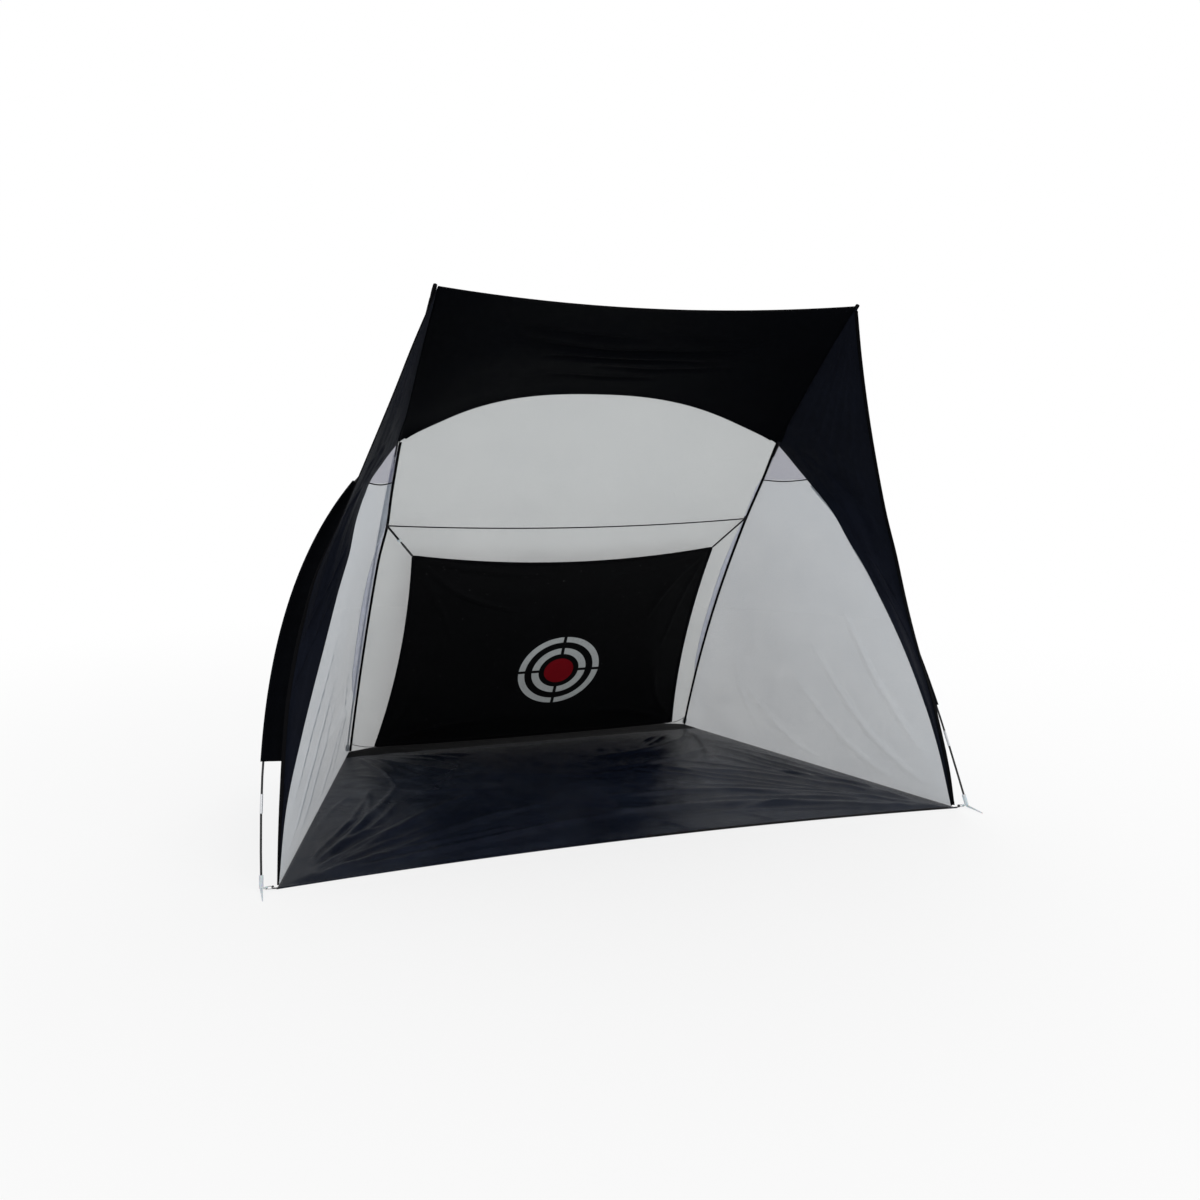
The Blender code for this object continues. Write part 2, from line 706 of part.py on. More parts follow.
def sleeve(route, start, stop, marks, seam, rise):
    """A pipe along a route, with a web from it to the seam beside the route's marks."""
    points, faces = [], []
    stations = route.stations(start, stop)
    for mark in stations:
        centre, along = route.at(mark), route.direction(mark)
        sewn = read_line(mark, marks, seam)
        way = sewn - centre
        toward = unit(way - along * (way @ along))
        tip = sewn - unit(way) * rise
        half = np.cross(along, toward) * CLOTH / 2
        points += ring_points(centre, along, toward, SLEEVE_RADIUS)
        points += ring_points(centre, along, toward, SLEEVE_BORE)
        points += [tip + half, tip - half]
    n = ROD_SIDES
    step = 2 * n + 2
    for i in range(len(stations) - 1):
        a, b = i * step, (i + 1) * step
        faces += [(a + k, a + k + 1, b + k + 1, b + k) for k in range(n - 1)]
        faces += ring_faces(a + n, b + n, n, flip=True)
        faces += [(a, b, b + 2 * n), (a, b + 2 * n, a + 2 * n)]
        faces += [(a + n - 1, b + 2 * n + 1, b + n - 1), (a + n - 1, a + 2 * n + 1, b + 2 * n + 1)]
        faces.append((a + 2 * n, b + 2 * n, b + 2 * n + 1, a + 2 * n + 1))
    last = (len(stations) - 1) * step
    faces += ring_faces(0, n, n, flip=True) + [(0, 2 * n, 2 * n + 1, n - 1)]
    faces += ring_faces(last, last + n, n) + [(last, last + n - 1, last + 2 * n + 1, last + 2 * n)]
    return points, faces


def build_sleeves():
    count = CROSSING_STEP + 1
    side_marks = RIGHT_BAR.marks[:count]
    side_seam = SIDE_SEAM[::-1]
    arch_marks = HOOP_BAR.marks[count - 1 : count + ARCH_STEPS]
    gusset = sleeve(
        RIGHT_BAR,
        RIGHT_BAR.rising_mark(GUSSET_FOOT_HEIGHT),
        RIGHT_BAR.rising_mark(GUSSET_TOP_HEIGHT),
        side_marks,
        side_seam,
        GUSSET_RISE,
    )
    roof = sleeve(
        HOOP_BAR,
        arch_marks[0] + CROSSING_CLEAR,
        arch_marks[-1] - CROSSING_CLEAR,
        arch_marks,
        ARCH_SEAM,
        ROOF_WEB_RISE,
    )
    foot = REAR_BAR.rising_mark(SLEEVE_FOOT_HEIGHT)
    below = REAR_CROSSING - CROSSING_CLEAR
    above = REAR_CROSSING + CROSSING_CLEAR
    top = REAR_BAR.length - POCKET_LENGTH - SEAM_GAP
    pale = sleeve(REAR_BAR, foot, below, REAR_BAR.marks, REAR_BAR_SEAM, WEB_RISE)
    upper = sleeve(REAR_BAR, above, top, REAR_BAR.marks, REAR_BAR_SEAM, WEB_RISE)
    build_solid("roof_sleeve", roof, "black_cloth")
    for side, word in SIDE_NAMES.items():
        build_solid(f"gusset_{word}", sided(gusset, side), "black_cloth")
        build_solid(f"rear_sleeve_{word}", sided(pale, side), "pale_sleeve")
        build_solid(f"upper_sleeve_{word}", sided(upper, side), "black_cloth")


# Panels


def straight(start, end, count):
    return np.linspace(start, end, count)


def pushed(grid, way, depths):
    """The grid moved along one way by a depth at each point."""
    return grid + unit(np.array(way))[None, None, :] * depths[:, :, None]


def top_edge():
    """The roof's front edge, hollow in the roof's own slope, from left to right."""
    middle = ARCH_SEAM[ARCH_STEPS // 2]
    slope = unit(np.array([0.0, middle[1] - TOP_CORNER[1], middle[2] - TOP_CORNER[2]]))
    across = np.linspace(-1.0, 1.0, ARCH_STEPS + 1)
    return [to_side(TOP_CORNER, s) + slope * TOP_EDGE_SAG * (1 - s * s) for s in across]


def build_roof():
    down = np.array(DIAGONAL[::-1])
    grid = filled(top_edge(), ARCH_SEAM, to_side(down, LEFT), down)
    s, t = grid_shares(grid)
    wrinkle = ROOF_FOLD * np.sin(math.pi * s) * np.sin(math.pi * t) * np.sin(3 * math.pi * t)
    sheet("roof_panel", shrunk(pushed(grid, ROOF_FOLD_WAY, wrinkle)), "black_cloth")


def band_grid():
    """A side band's grid, from the top corner down to the front corner."""
    apex_share = 0.45 / DIAGONAL_STEPS
    seam = [DIAGONAL[-1] * (1 - apex_share) + DIAGONAL[-2] * apex_share]
    seam += [*DIAGONAL[-2::-1], *SIDE_SEAM[1:]]
    edge = free_edge_line()
    lengths = Route(seam).marks / Route(seam).length
    apex_mark = np.linalg.norm(seam[0] - TOP_CORNER)
    free = [edge.at(apex_mark + share * (edge.length - apex_mark)) for share in lengths]
    top = straight(free[0], seam[0], BAND_COLUMNS)
    bottom = straight(free[-1], seam[-1], BAND_COLUMNS)
    return filled(top, bottom, free, seam)


def build_bands():
    grid = band_grid()
    s, t = grid_shares(grid)
    fold = BAND_FOLD * np.sin(math.pi * t) * np.sin(math.pi * s) * np.sin(2 * math.pi * s)
    grid = shrunk(pushed(grid, BAND_FOLD_WAY, fold), left=0.0)
    for side, word in SIDE_NAMES.items():
        sheet(f"band_{word}", to_side(grid, side), "black_cloth")


def build_nets():
    columns = ARCH_STEPS + 1
    rear = np.array(REAR_SEAM)
    bottom = straight(to_side(rear[-1], LEFT), rear[-1], columns)
    grid = filled(ARCH_SEAM, bottom, to_side(rear, LEFT), rear)
    s, t = grid_shares(grid)
    sag = REAR_NET_SAG * np.sin(math.pi * s) * np.sin(math.pi * t)
    sheet("rear_net", shrunk(pushed(grid, REAR_SAG_WAY, sag), bottom=0.0), "white_net")
    first = 1 + UPPER_STEPS
    side, back = np.array(SIDE_SEAM), np.array(REAR_SEAM)
    seam = straight(side[first], back[first], NET_COLUMNS)
    foot = straight(side[-1], back[-1], NET_COLUMNS)
    large = filled(seam, foot, side[first:], back[first:])
    s, t = grid_shares(large)
    large = pushed(large, -ACROSS, SIDE_NET_SAG * np.sin(math.pi * s) * np.sin(math.pi * t))
    apex = straight(side[1], back[1], UPPER_NET_COLUMNS)
    seam = straight(side[first], back[first], UPPER_NET_COLUMNS)
    small = filled(apex, seam, side[1 : first + 1], back[1 : first + 1])
    for hand, word in SIDE_NAMES.items():
        sheet(f"side_net_{word}", to_side(shrunk(large, bottom=0.0), hand), "white_net")
        sheet(f"upper_net_{word}", to_side(shrunk(small), hand), "white_net")


# Floor


def floor_grid():
    """The floor sheet's top, from its front edge back to the rear edge."""
    lip = np.array([FLOOR_LIP, 0.0, 0.0])
    front = FRONT_CORNER + lip
    rear = REAR_CORNER + lip + np.array([0.0, FLOOR_LIP, 0.0])
    across = np.linspace(-1.0, 1.0, FLOOR_COLUMNS)
    near = [to_side(front, s) + BACKWARD * FLOOR_FRONT_BOW * (1 - s * s) for s in across]
    far = [to_side(rear, s) for s in across]
    right = straight(front, rear, FLOOR_ROWS)
    return filled(near, far, to_side(right, LEFT), right)


def floor_folds(grid):
    """Heights of the folds that run out from the two front corners."""
    s, t = grid_shares(grid)
    fade = np.sin(math.pi * s) * np.sin(math.pi * t)
    heights = np.zeros(s.shape)
    for side in SIDE_NAMES:
        corner = to_side(FRONT_CORNER, side)
        turn = np.arctan2(grid[:, :, 1] - corner[1], side * (corner[0] - grid[:, :, 0]))
        away = np.hypot(grid[:, :, 0] - corner[0], grid[:, :, 1] - corner[1])
        heights += np.maximum(0.0, np.sin(FLOOR_FOLD_TURNS * turn)) * np.exp(-away / FLOOR_FOLD_REACH)
    return FLOOR_FOLD * fade * heights


def build_floor():
    """The floor sheet: a folded top over a flat underside that rests on the ground."""
    grid = floor_grid()
    rows, columns = grid.shape[:2]
    top = grid.copy()
    top[:, :, 2] = FLOOR_TOP + floor_folds(grid)
    points = list(top.reshape(-1, 3))
    faces = []
    for i in range(rows - 1):
        for j in range(columns - 1):
            a, c = i * columns + j, (i + 1) * columns + j
            faces += [(a, a + 1, c + 1), (a, c + 1, c)]
    border = [j for j in range(columns)]
    border += [i * columns + columns - 1 for i in range(1, rows)]
    border += [(rows - 1) * columns + j for j in range(columns - 2, -1, -1)]
    border += [i * columns for i in range(rows - 2, 0, -1)]
    base = len(points)
    points += [grid.reshape(-1, 3)[index] for index in border]
    count = len(border)
    for k in range(count):
        n = (k + 1) % count
        faces.append((border[n], border[k], base + k, base + n))
    faces.append(tuple(range(base, base + count))[::-1])
    build_solid("floor_sheet", (points, faces), "floor_cloth")


# Target

TARGET_TOP = at(0.0, TARGET_TOP_BACK, TARGET_TOP_HEIGHT)
TARGET_DROP = at(0.0, TARGET_BOTTOM_BACK, TARGET_BOTTOM_HEIGHT) - TARGET_TOP
TARGET_LENGTH = np.linalg.norm(TARGET_DROP)
TARGET_DOWN = TARGET_DROP / TARGET_LENGTH
TARGET_FRONT = np.cross(ACROSS, -TARGET_DOWN)


def on_target(right, down, front=0.0):
    return TARGET_TOP + ACROSS * right + TARGET_DOWN * down + TARGET_FRONT * front


def eased(share):
    share = np.clip(share, 0.0, 1.0)
    return share * share * (3 - 2 * share)


def build_target():
    s = np.linspace(-1.0, 1.0, TARGET_COLUMNS + 1)[None, :]
    t = np.linspace(0.0, 1.0, TARGET_ROWS + 1)[:, None]
    half = (1 - t) * TARGET_TOP_WIDTH / 2 + t * TARGET_BOTTOM_WIDTH / 2
    half = half - TARGET_SIDE_HOLLOW * 4 * t * (1 - t)
    hollow = (1 - t) * TARGET_TOP_HOLLOW - t * TARGET_BOTTOM_HOLLOW
    rights = s * half
    downs = t * TARGET_LENGTH + hollow * (1 - s * s)
    billow = eased(half * (1 - np.abs(s)) / TARGET_BILLOW_EDGE)
    billow = billow * eased(t * TARGET_LENGTH / TARGET_BILLOW_EDGE)
    billow = billow * eased((1 - t) * TARGET_LENGTH / TARGET_BILLOW_EDGE)
    grid = np.zeros((TARGET_ROWS + 1, TARGET_COLUMNS + 1, 3))
    for i in range(TARGET_ROWS + 1):
        for j in range(TARGET_COLUMNS + 1):
            grid[i, j] = on_target(rights[i, j], downs[i, j], TARGET_BILLOW * billow[i, j])
    sheet("target_cloth", grid, "target_cloth", origin=TARGET_TOP)


# Fittings at the feet

HOOP_END = RIGHT_BAR.at(0.0)
HOOP_UP = RIGHT_BAR.direction(0.0)
RING_CENTRE = at(HOOP_END[0] - RING_INSIDE, EYE_BACK, RING_HEIGHT)
EYE_CENTRE = RING_CENTRE + ACROSS * RING_RADIUS
LOOP_CENTRE = RING_CENTRE - ACROSS * RING_RADIUS


def build_feet():
    """Feet with a socket for the rod, a toe on the ground and an eye for the ring."""
    bottom = HOOP_END - HOOP_UP * FOOT_SEAT
    top = HOOP_END + HOOP_UP * (FOOT_LENGTH - FOOT_SEAT)
    toe_root = at(HOOP_END[0], TOE_ROOT_BACK, TOE_ROOT_RADIUS + SEAM_GAP)
    toe_point = at(HOOP_END[0], -TOE_REACH, TOE_POINT_RADIUS + SEAM_GAP)
    half = BACKWARD * EYE_THICKNESS / 2
    neck = EYE_CENTRE + ACROSS * (EYE_BORE + EYE_WALL / 2) - half - UPWARD * EYE_BORE
    reach = ACROSS * (HOOP_END[0] - neck[0] - ROD_RADIUS - FIT_GAP - FOOT_WALL / 2)
    seat = HOOP_END - HOOP_UP * FIT_GAP
    past = top + HOOP_UP * FOOT_SEAT
    toe = cylinder(toe_root, toe_point, UPWARD, TOE_ROOT_RADIUS, TOE_POINT_RADIUS)
    eye = cylinder(EYE_CENTRE - half, EYE_CENTRE + half, UPWARD, EYE_BORE + EYE_WALL, sides=EYE_SIDES)
    hole = cylinder(EYE_CENTRE - 3 * half, EYE_CENTRE + 3 * half, UPWARD, EYE_BORE, sides=EYE_SIDES)
    shapes = {
        "toe": (toe, "UNION"),
        "neck": (box(neck, reach, 2 * half, UPWARD * 2 * EYE_BORE), "UNION"),
        "eye": (eye, "UNION"),
        "hole": (hole, "DIFFERENCE"),
        "bore": (cylinder(seat, past, HOOP_SIDEWAYS, ROD_RADIUS + FIT_GAP), "DIFFERENCE"),
    }
    for side, word in SIDE_NAMES.items():
        socket = sided(cylinder(bottom, top, HOOP_SIDEWAYS, FOOT_RADIUS), side)
        origin = to_side(HOOP_END, side)
        foot = build_solid(f"foot_{word}", socket, "pale_plastic", origin, smooth=False)
        for name, (solid, operation) in shapes.items():
            combine(foot, f"foot_{name}_{word}", sided(solid, side), operation)


def build_rings_and_loops():
    loop_half = BACKWARD * LOOP_WIDTH / 2
    hold_end = FRONT_CORNER[0] - TAB_HOLD
    tab = np.array([hold_end, LOOP_CENTRE[1], FLOOR_TOP + SEAM_GAP]) - loop_half
    reach = ACROSS * (LOOP_CENTRE[0] - hold_end)
    outer = LOOP_BORE + LOOP_WALL
    plate = box(tab, reach, 2 * loop_half, UPWARD * TAB_THICKNESS)
    start, stop = LOOP_CENTRE - loop_half, LOOP_CENTRE + loop_half
    tube = cylinder(start, stop, UPWARD, outer, sides=EYE_SIDES)
    bore = cylinder(start - loop_half, stop + loop_half, UPWARD, LOOP_BORE, sides=EYE_SIDES)
    for side, word in SIDE_NAMES.items():
        build_solid(f"ring_{word}", sided(torus(RING_CENTRE, RING_RADIUS, RING_WIRE), side), "ring_steel")
        loop = build_solid(f"loop_{word}", sided(tube, side), "black_webbing", smooth=False)
        combine(loop, f"loop_plate_{word}", sided(plate, side), "UNION")
        combine(loop, f"loop_bore_{word}", sided(bore, side), "DIFFERENCE")


def build_cups_and_pockets():
    start = REAR_BAR.rising_mark(CUP_START_HEIGHT)
    cup = closed_pipe(REAR_BAR, start, CUP_SEAT, REAR_BAR.rising_mark(CUP_HEIGHT), CUP_RADIUS, ACROSS)
    pocket_radius = ROD_RADIUS + FIT_GAP + POCKET_WALL
    end = REAR_BAR.length
    pocket = closed_pipe(REAR_BAR, end, POCKET_END, end - POCKET_LENGTH, pocket_radius, ACROSS)
    for side, word in SIDE_NAMES.items():
        build_solid(f"cup_{word}", sided(cup, side), "black_webbing")
        build_solid(f"pocket_{word}", sided(pocket, side), "black_cloth")


# Straps, ties and the cross cord

ANCHOR = in_corner(BEND_HEIGHT, ANCHOR_RADIUS, BEND_CORNER)
TARGET_CORNER = on_target(TARGET_TOP_WIDTH / 2, 0.0)
STRAP_WAY = unit(TARGET_CORNER - ANCHOR)
STRAP_ACROSS = unit(np.cross(STRAP_WAY, TARGET_FRONT))
STRAP_FLAT = np.cross(STRAP_WAY, STRAP_ACROSS)


def strap_block(start, end, width, thickness):
    """A flat block along the strap's way, between two distances from the anchor's middle."""
    corner = ANCHOR + STRAP_WAY * start - STRAP_ACROSS * width / 2 - STRAP_FLAT * thickness / 2
    return box(corner, STRAP_WAY * (end - start), STRAP_ACROSS * width, STRAP_FLAT * thickness)


def build_straps():
    reach = np.linalg.norm(TARGET_CORNER - ANCHOR)
    start = math.hypot(ANCHOR_RADIUS, ANCHOR_HALF_LENGTH) + SEAM_GAP
    strap = strap_block(start, reach - STRAP_END_GAP, STRAP_WIDTH, STRAP_THICKNESS)
    above = rear_seam_at(BEND_HEIGHT + 2 * ANCHOR_HALF_LENGTH)
    below = rear_seam_at(BEND_HEIGHT - 2 * ANCHOR_HALF_LENGTH)
    half = unit(above - below) * ANCHOR_HALF_LENGTH
    anchor = cylinder(ANCHOR - half, ANCHOR + half, ACROSS, ANCHOR_RADIUS)
    for side, word in SIDE_NAMES.items():
        build_solid(f"anchor_{word}", sided(anchor, side), "black_webbing")
        build_solid(f"strap_{word}", sided(strap, side), "black_webbing", smooth=False)
    build_slider()


def build_slider():
    """The slider on the left strap, with the strap passing through it."""
    start = SLIDER_FROM_ANCHOR - SLIDER_LENGTH / 2
    end = SLIDER_FROM_ANCHOR + SLIDER_LENGTH / 2
    opening = (STRAP_WIDTH + 2 * FIT_GAP, STRAP_THICKNESS + 2 * FIT_GAP)
    outside = (opening[0] + 2 * SLIDER_WALL, opening[1] + 2 * SLIDER_WALL)
    origin = to_side(ANCHOR + STRAP_WAY * SLIDER_FROM_ANCHOR, LEFT)
    body = sided(strap_block(start, end, *outside), LEFT)
    slider = build_solid("strap_slider", body, "pale_plastic", origin, smooth=False)
    hole = sided(strap_block(start - SLIDER_WALL, end + SLIDER_WALL, *opening), LEFT)
    combine(slider, "slider_hole", hole, "DIFFERENCE")


def hanging(start, end, sag, steps):
    """A line from one point to another that hangs down in its middle."""
    places = np.linspace(0.0, 1.0, steps + 1)
    return [start + (end - start) * s - UPWARD * sag * 4 * s * (1 - s) for s in places]


def build_cords():
    end = ANCHOR - ACROSS * (ANCHOR_RADIUS + SEAM_GAP)
    line = hanging(to_side(end, LEFT), end, CORD_SAG, CORD_STEPS)
    cord("cross_cord", line, CORD_RADIUS, "black_webbing")
    corner = on_target(TARGET_BOTTOM_WIDTH / 2, TARGET_LENGTH)
    far = in_corner(TIE_HEIGHT, TIE_RADIUS, FOOT_CORNER)
    line = hanging(corner + unit(far - corner) * TIE_END_GAP, far, TIE_SAG, TIE_STEPS)
    for side, word in SIDE_NAMES.items():
        cord(f"tie_{word}", list(to_side(line, side)), TIE_RADIUS, "black_webbing")


def clear_scene():
    for old in list(bpy.data.objects):
        bpy.data.objects.remove(old, do_unlink=True)


def main():
    clear_scene()
    build_hoop()
    build_rear_poles()
    build_sleeves()
    build_roof()
    build_bands()
    build_nets()
    build_floor()
    build_target()
    build_feet()
    build_rings_and_loops()
    build_cups_and_pockets()
    build_straps()
    build_cords()


main()
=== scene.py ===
import math
import bpy
import numpy as np
from mathutils import Euler, Matrix, Vector, noise


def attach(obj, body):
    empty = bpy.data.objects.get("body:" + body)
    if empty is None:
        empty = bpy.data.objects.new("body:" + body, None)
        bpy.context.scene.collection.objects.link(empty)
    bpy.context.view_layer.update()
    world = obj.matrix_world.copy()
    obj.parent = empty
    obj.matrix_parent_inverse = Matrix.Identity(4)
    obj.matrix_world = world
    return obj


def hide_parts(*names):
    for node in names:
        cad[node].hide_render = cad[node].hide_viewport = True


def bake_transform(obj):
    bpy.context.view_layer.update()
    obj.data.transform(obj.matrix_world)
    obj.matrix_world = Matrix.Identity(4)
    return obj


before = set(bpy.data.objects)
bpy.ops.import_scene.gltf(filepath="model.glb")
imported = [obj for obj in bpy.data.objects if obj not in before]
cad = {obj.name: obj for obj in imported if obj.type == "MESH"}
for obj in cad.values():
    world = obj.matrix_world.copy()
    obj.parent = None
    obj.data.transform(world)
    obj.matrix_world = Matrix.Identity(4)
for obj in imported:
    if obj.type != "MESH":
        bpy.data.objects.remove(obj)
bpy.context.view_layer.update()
bpy.ops.object.select_all(action="DESELECT")
print("frame loaded")

# the photograph's view of the cage
view = {"place": (-1.6188, -3.9436, 1.4191), "turn": 0.254, "tilt": 0.011, "roll": -0.0071,
        "lens": 27.005, "shift": (0.1235, -0.1090)}

camera = bpy.data.objects.new("camera", bpy.data.cameras.new("camera"))
bpy.context.collection.objects.link(camera)
camera.data.sensor_width = 36
camera.data.lens = view["lens"]
camera.data.shift_x, camera.data.shift_y = view["shift"]
camera.data.clip_end = 200
camera.location = view["place"]
look = Euler((math.pi / 2 + view["tilt"], 0, -view["turn"])).to_matrix()
camera.rotation_euler = (look @ Matrix.Rotation(view["roll"], 3, "Z")).to_euler()
bpy.context.scene.camera = camera

# the cage's main lines, as the frame has them, in metres
cage = {"topHeight": 2.10, "topWidth": 1.73, "topForward": 0.114, "topSag": 0.075,
        "floorFront": 2.854, "floorRear": 1.93, "floorDepth": 1.50, "floorBow": 0.065,
        "crossing": 1.57, "netSeam": 1.405, "bend": 1.222, "bendPull": 0.012, "bendSpread": 0.11,
        "hoopWidth": 2.96, "hoopHeight": 1.82, "hoopPower": 2.45, "hoopLean": 0.40,
        "hoopEase": 0.06, "hoopFoot": 0.012, "roofFlap": 0.029, "rearFlap": 0.012,
        "cloth": 0.0008, "seamFoot": 0.0014}


def at(right, back, height):
    return np.array([right, back - cage["floorDepth"] / 2, height])


def unit(way):
    return way / np.linalg.norm(way, axis=-1, keepdims=True)


def onSide(points, side):
    return np.array(points, float) * np.array([side, 1, 1])


def handed(grid, side):
    # a sheet on one side of the cage, its columns still in the same turn
    return onSide(grid, side)[:, ::side]


def mixed(a, b, share):
    return a * (1 - share) + b * share


def eased(share):
    share = np.clip(share, 0, 1)
    return share * share * (3 - 2 * share)


def arched(share):
    return np.sin(math.pi * share)


def hump(x, middle, width):
    return np.exp(-((x - middle) / width) ** 2)


def squared(vectors, ways):
    # what is left of the vectors square to the ways
    return unit(vectors - ways * np.sum(vectors * ways, axis=-1, keepdims=True))


def slopes(points):
    return unit(np.gradient(points, axis=0))


def marksOf(points):
    return np.concatenate([[0], np.cumsum(np.linalg.norm(np.diff(points, axis=0), axis=1))])


def between(marks, known, rows):
    return np.stack([np.interp(marks, known, rows[:, k]) for k in range(3)], axis=-1)


class Line:
    # a line through many points, read by the length along it
    def __init__(self, points):
        self.points = np.array(points, float)
        self.marks = marksOf(self.points)
        self.length = self.marks[-1]
        self.ways = unit(np.gradient(self.points, self.marks, axis=0))

    def at(self, marks):
        return between(marks, self.marks, self.points)

    def way(self, marks):
        return unit(between(marks, self.marks, self.ways))

    def spread(self, count, start=0.0, stop=None):
        return self.at(np.linspace(start, self.length if stop is None else stop, count))

    def rising(self, height):
        top = int(np.argmax(self.points[:, 2]))
        return float(np.interp(height, self.points[:top + 1, 2], self.marks[:top + 1]))


def smoothLine(points, steps=16):
    given = [np.array(p, float) for p in points]
    ends = [2 * given[0] - given[1], *given, 2 * given[-1] - given[-2]]
    out = []
    for a, b, c, d in zip(ends, ends[1:], ends[2:], ends[3:]):
        for t in np.linspace(0, 1, steps, endpoint=False):
            bend = (2 * a - 5 * b + 4 * c - d) * t ** 2 + (3 * b - a - 3 * c + d) * t ** 3
            out.append((2 * b + (c - a) * t + bend) / 2)
    return np.array([*out, given[-1]])


def hoopBack(height):
    return cage["hoopLean"] * height - cage["hoopEase"] * height ** 2


def hoopPoint(height):
    share = 1 - (height / cage["hoopHeight"]) ** cage["hoopPower"]
    return at(cage["hoopWidth"] / 2 * share ** (1 / cage["hoopPower"]), hoopBack(height), height)


def hoopLine():
    turns = np.linspace(-math.pi / 2, math.pi / 2, 1601)
    power = 2 / cage["hoopPower"]
    rights = cage["hoopWidth"] / 2 * np.sign(turns) * np.abs(np.sin(turns)) ** power
    heights = cage["hoopHeight"] * np.clip(np.cos(turns), 0, 1) ** power
    inside = heights > cage["hoopFoot"]
    middle = [at(x, hoopBack(z), z) for x, z in zip(rights[inside], heights[inside])]
    end = hoopPoint(cage["hoopFoot"])
    return Line([onSide(end, -1), *middle, end])


hoop = hoopLine()


def archSeam(marks):
    middle = at(0, hoopBack(cage["hoopHeight"] / 3), cage["hoopHeight"] / 3)
    return hoop.at(marks) - squared(hoop.at(marks) - middle, hoop.way(marks)) * cage["roofFlap"]


leftMark = hoop.rising(cage["crossing"])
archMarks = np.linspace(leftMark, hoop.length - leftMark, 161)
archPoints = archSeam(archMarks)
crossing = archPoints[-1]
topCorner = at(cage["topWidth"] / 2, -cage["topForward"], cage["topHeight"])
frontCorner = at(cage["floorFront"] / 2, 0, 0)
rearCorner = at(cage["floorRear"] / 2, cage["floorDepth"], 0)


def circleThrough(a, b, c):
    centre = np.linalg.solve(np.array([b - a, c - b]), np.array([b @ b - a @ a, c @ c - b @ b]) / 2)
    return centre, np.linalg.norm(a - centre)


bowCentre, bowRadius = circleThrough(rearCorner[1:], crossing[1:], topCorner[1:])
bowWidths = np.polyfit([rearCorner[2], crossing[2], topCorner[2]],
                       [rearCorner[0], crossing[0], topCorner[0]], 2)


def bowPoint(height):
    # the rear pole's smooth line, and the way out of the cage there
    rise = height - bowCentre[1]
    back = bowCentre[0] + math.sqrt(bowRadius ** 2 - rise ** 2)
    normal = unit(np.array([0, back - bowCentre[0], rise]))
    return np.array([np.polyval(bowWidths, height), back, height]), unit(np.array([1.0, 0, 0]) + normal)


def rearSeamPoint(height):
    point, outward = bowPoint(height)
    return point - outward * cage["bendPull"] * hump(height, cage["bend"], cage["bendSpread"])


def polePoint(height):
    point, outward = bowPoint(height)
    return point + outward * cage["rearFlap"]


def rearSeamLine(heights):
    return np.array([rearSeamPoint(z) for z in heights])


# height, way in from the hoop and way forward from it
sideSeamShape = ((1.47, 0.058, 0.002), (1.40, 0.066, 0.010), (1.265, 0.104, 0.060), (1.13, 0.143, 0.088),
                 (1.00, 0.153, 0.106), (0.74, 0.152, 0.112), (0.49, 0.124, 0.083), (0.25, 0.086, 0.032))
# right, back and height
freeEdgeShape = ((0.938, -0.046, 1.913), (1.008, 0.008, 1.721), (1.085, 0.060, 1.522),
                 (1.185, 0.118, 1.271), (1.272, 0.158, 1.070), (1.325, 0.168, 0.880),
                 (1.358, 0.160, 0.734), (1.382, 0.138, 0.600), (1.398, 0.098, 0.460),
                 (1.410, 0.062, 0.300), (1.420, 0.030, 0.140))
sideFoot = frontCorner + unit(rearCorner - frontCorner) * 0.026
sideFoot[2] = cage["seamFoot"]
sideSeam = smoothLine([crossing, *(hoopPoint(z) - np.array([inward, forward, 0])
                                   for z, inward, forward in sideSeamShape), sideFoot])
rearSeam = np.array([crossing, *rearSeamLine(np.linspace(crossing[2], cage["seamFoot"], 201)[1:])])
diagonal = np.array([crossing, *rearSeamLine(np.linspace(crossing[2], topCorner[2], 81)[1:])])
poleHeights = np.linspace(0.0045, topCorner[2], 240)
poleLine = Line([polePoint(z) for z in poleHeights])
freeEdge = Line(smoothLine([topCorner, *(at(*p) for p in freeEdgeShape),
                            frontCorner + np.array([-0.003, 0.014, 0.012])]))
tuck = {"lift": 0.026, "spread": 0.13, "apexDrop": 0.012}


def tucked(points):
    # the cloth is drawn up a little where the poles cross
    out = np.array(points, float)
    for side in (-1, 1):
        near = np.linalg.norm(points - onSide(crossing, side), axis=1)
        out[:, 2] += tuck["lift"] * hump(near, 0, tuck["spread"])
    return out


archLine = Line(tucked(archPoints))
archTop = archLine.points[80]
sideSeam, rearSeam, diagonal = tucked(sideSeam), tucked(rearSeam), tucked(diagonal)
apexHeight = crossing[2] + tuck["lift"] - tuck["apexDrop"]

# how far the pale sleeves' inner strips reach beyond the seams, height by height; the side net is sewn to the
# left strip's edge and the rear net to the right one's
slack = {-1: (np.array([0.993, 0.12, 0]), ((0.31, 0), (0.36, 0.022), (0.46, 0.032), (0.80, 0.034),
                                           (0.98, 0.028), (1.10, 0.016), (1.21, 0.002))),
         1: (np.array([-1.0, 0, 0]), ((0.31, 0), (0.40, 0.016), (0.60, 0.025), (0.95, 0.026), (1.10, 0.018),
                                      (1.20, 0.008), (1.27, 0.008), (1.36, 0.012), (1.43, 0.0)))}


def foldLine(line, side):
    way, shape = slack[side]
    heights, reaches = zip(*shape)
    return line + way * np.interp(line[:, 2], heights, reaches, right=0)[:, None]


def below(line, top, bottom):
    # the stretch of a falling line between two heights
    rows = [z for z in line[:, 2] if bottom < z < top]
    return between([top, *rows, bottom], line[::-1, 2], line[::-1])


def straight(a, b, count=60):
    return np.linspace(a, b, count)


# sheets of cloth

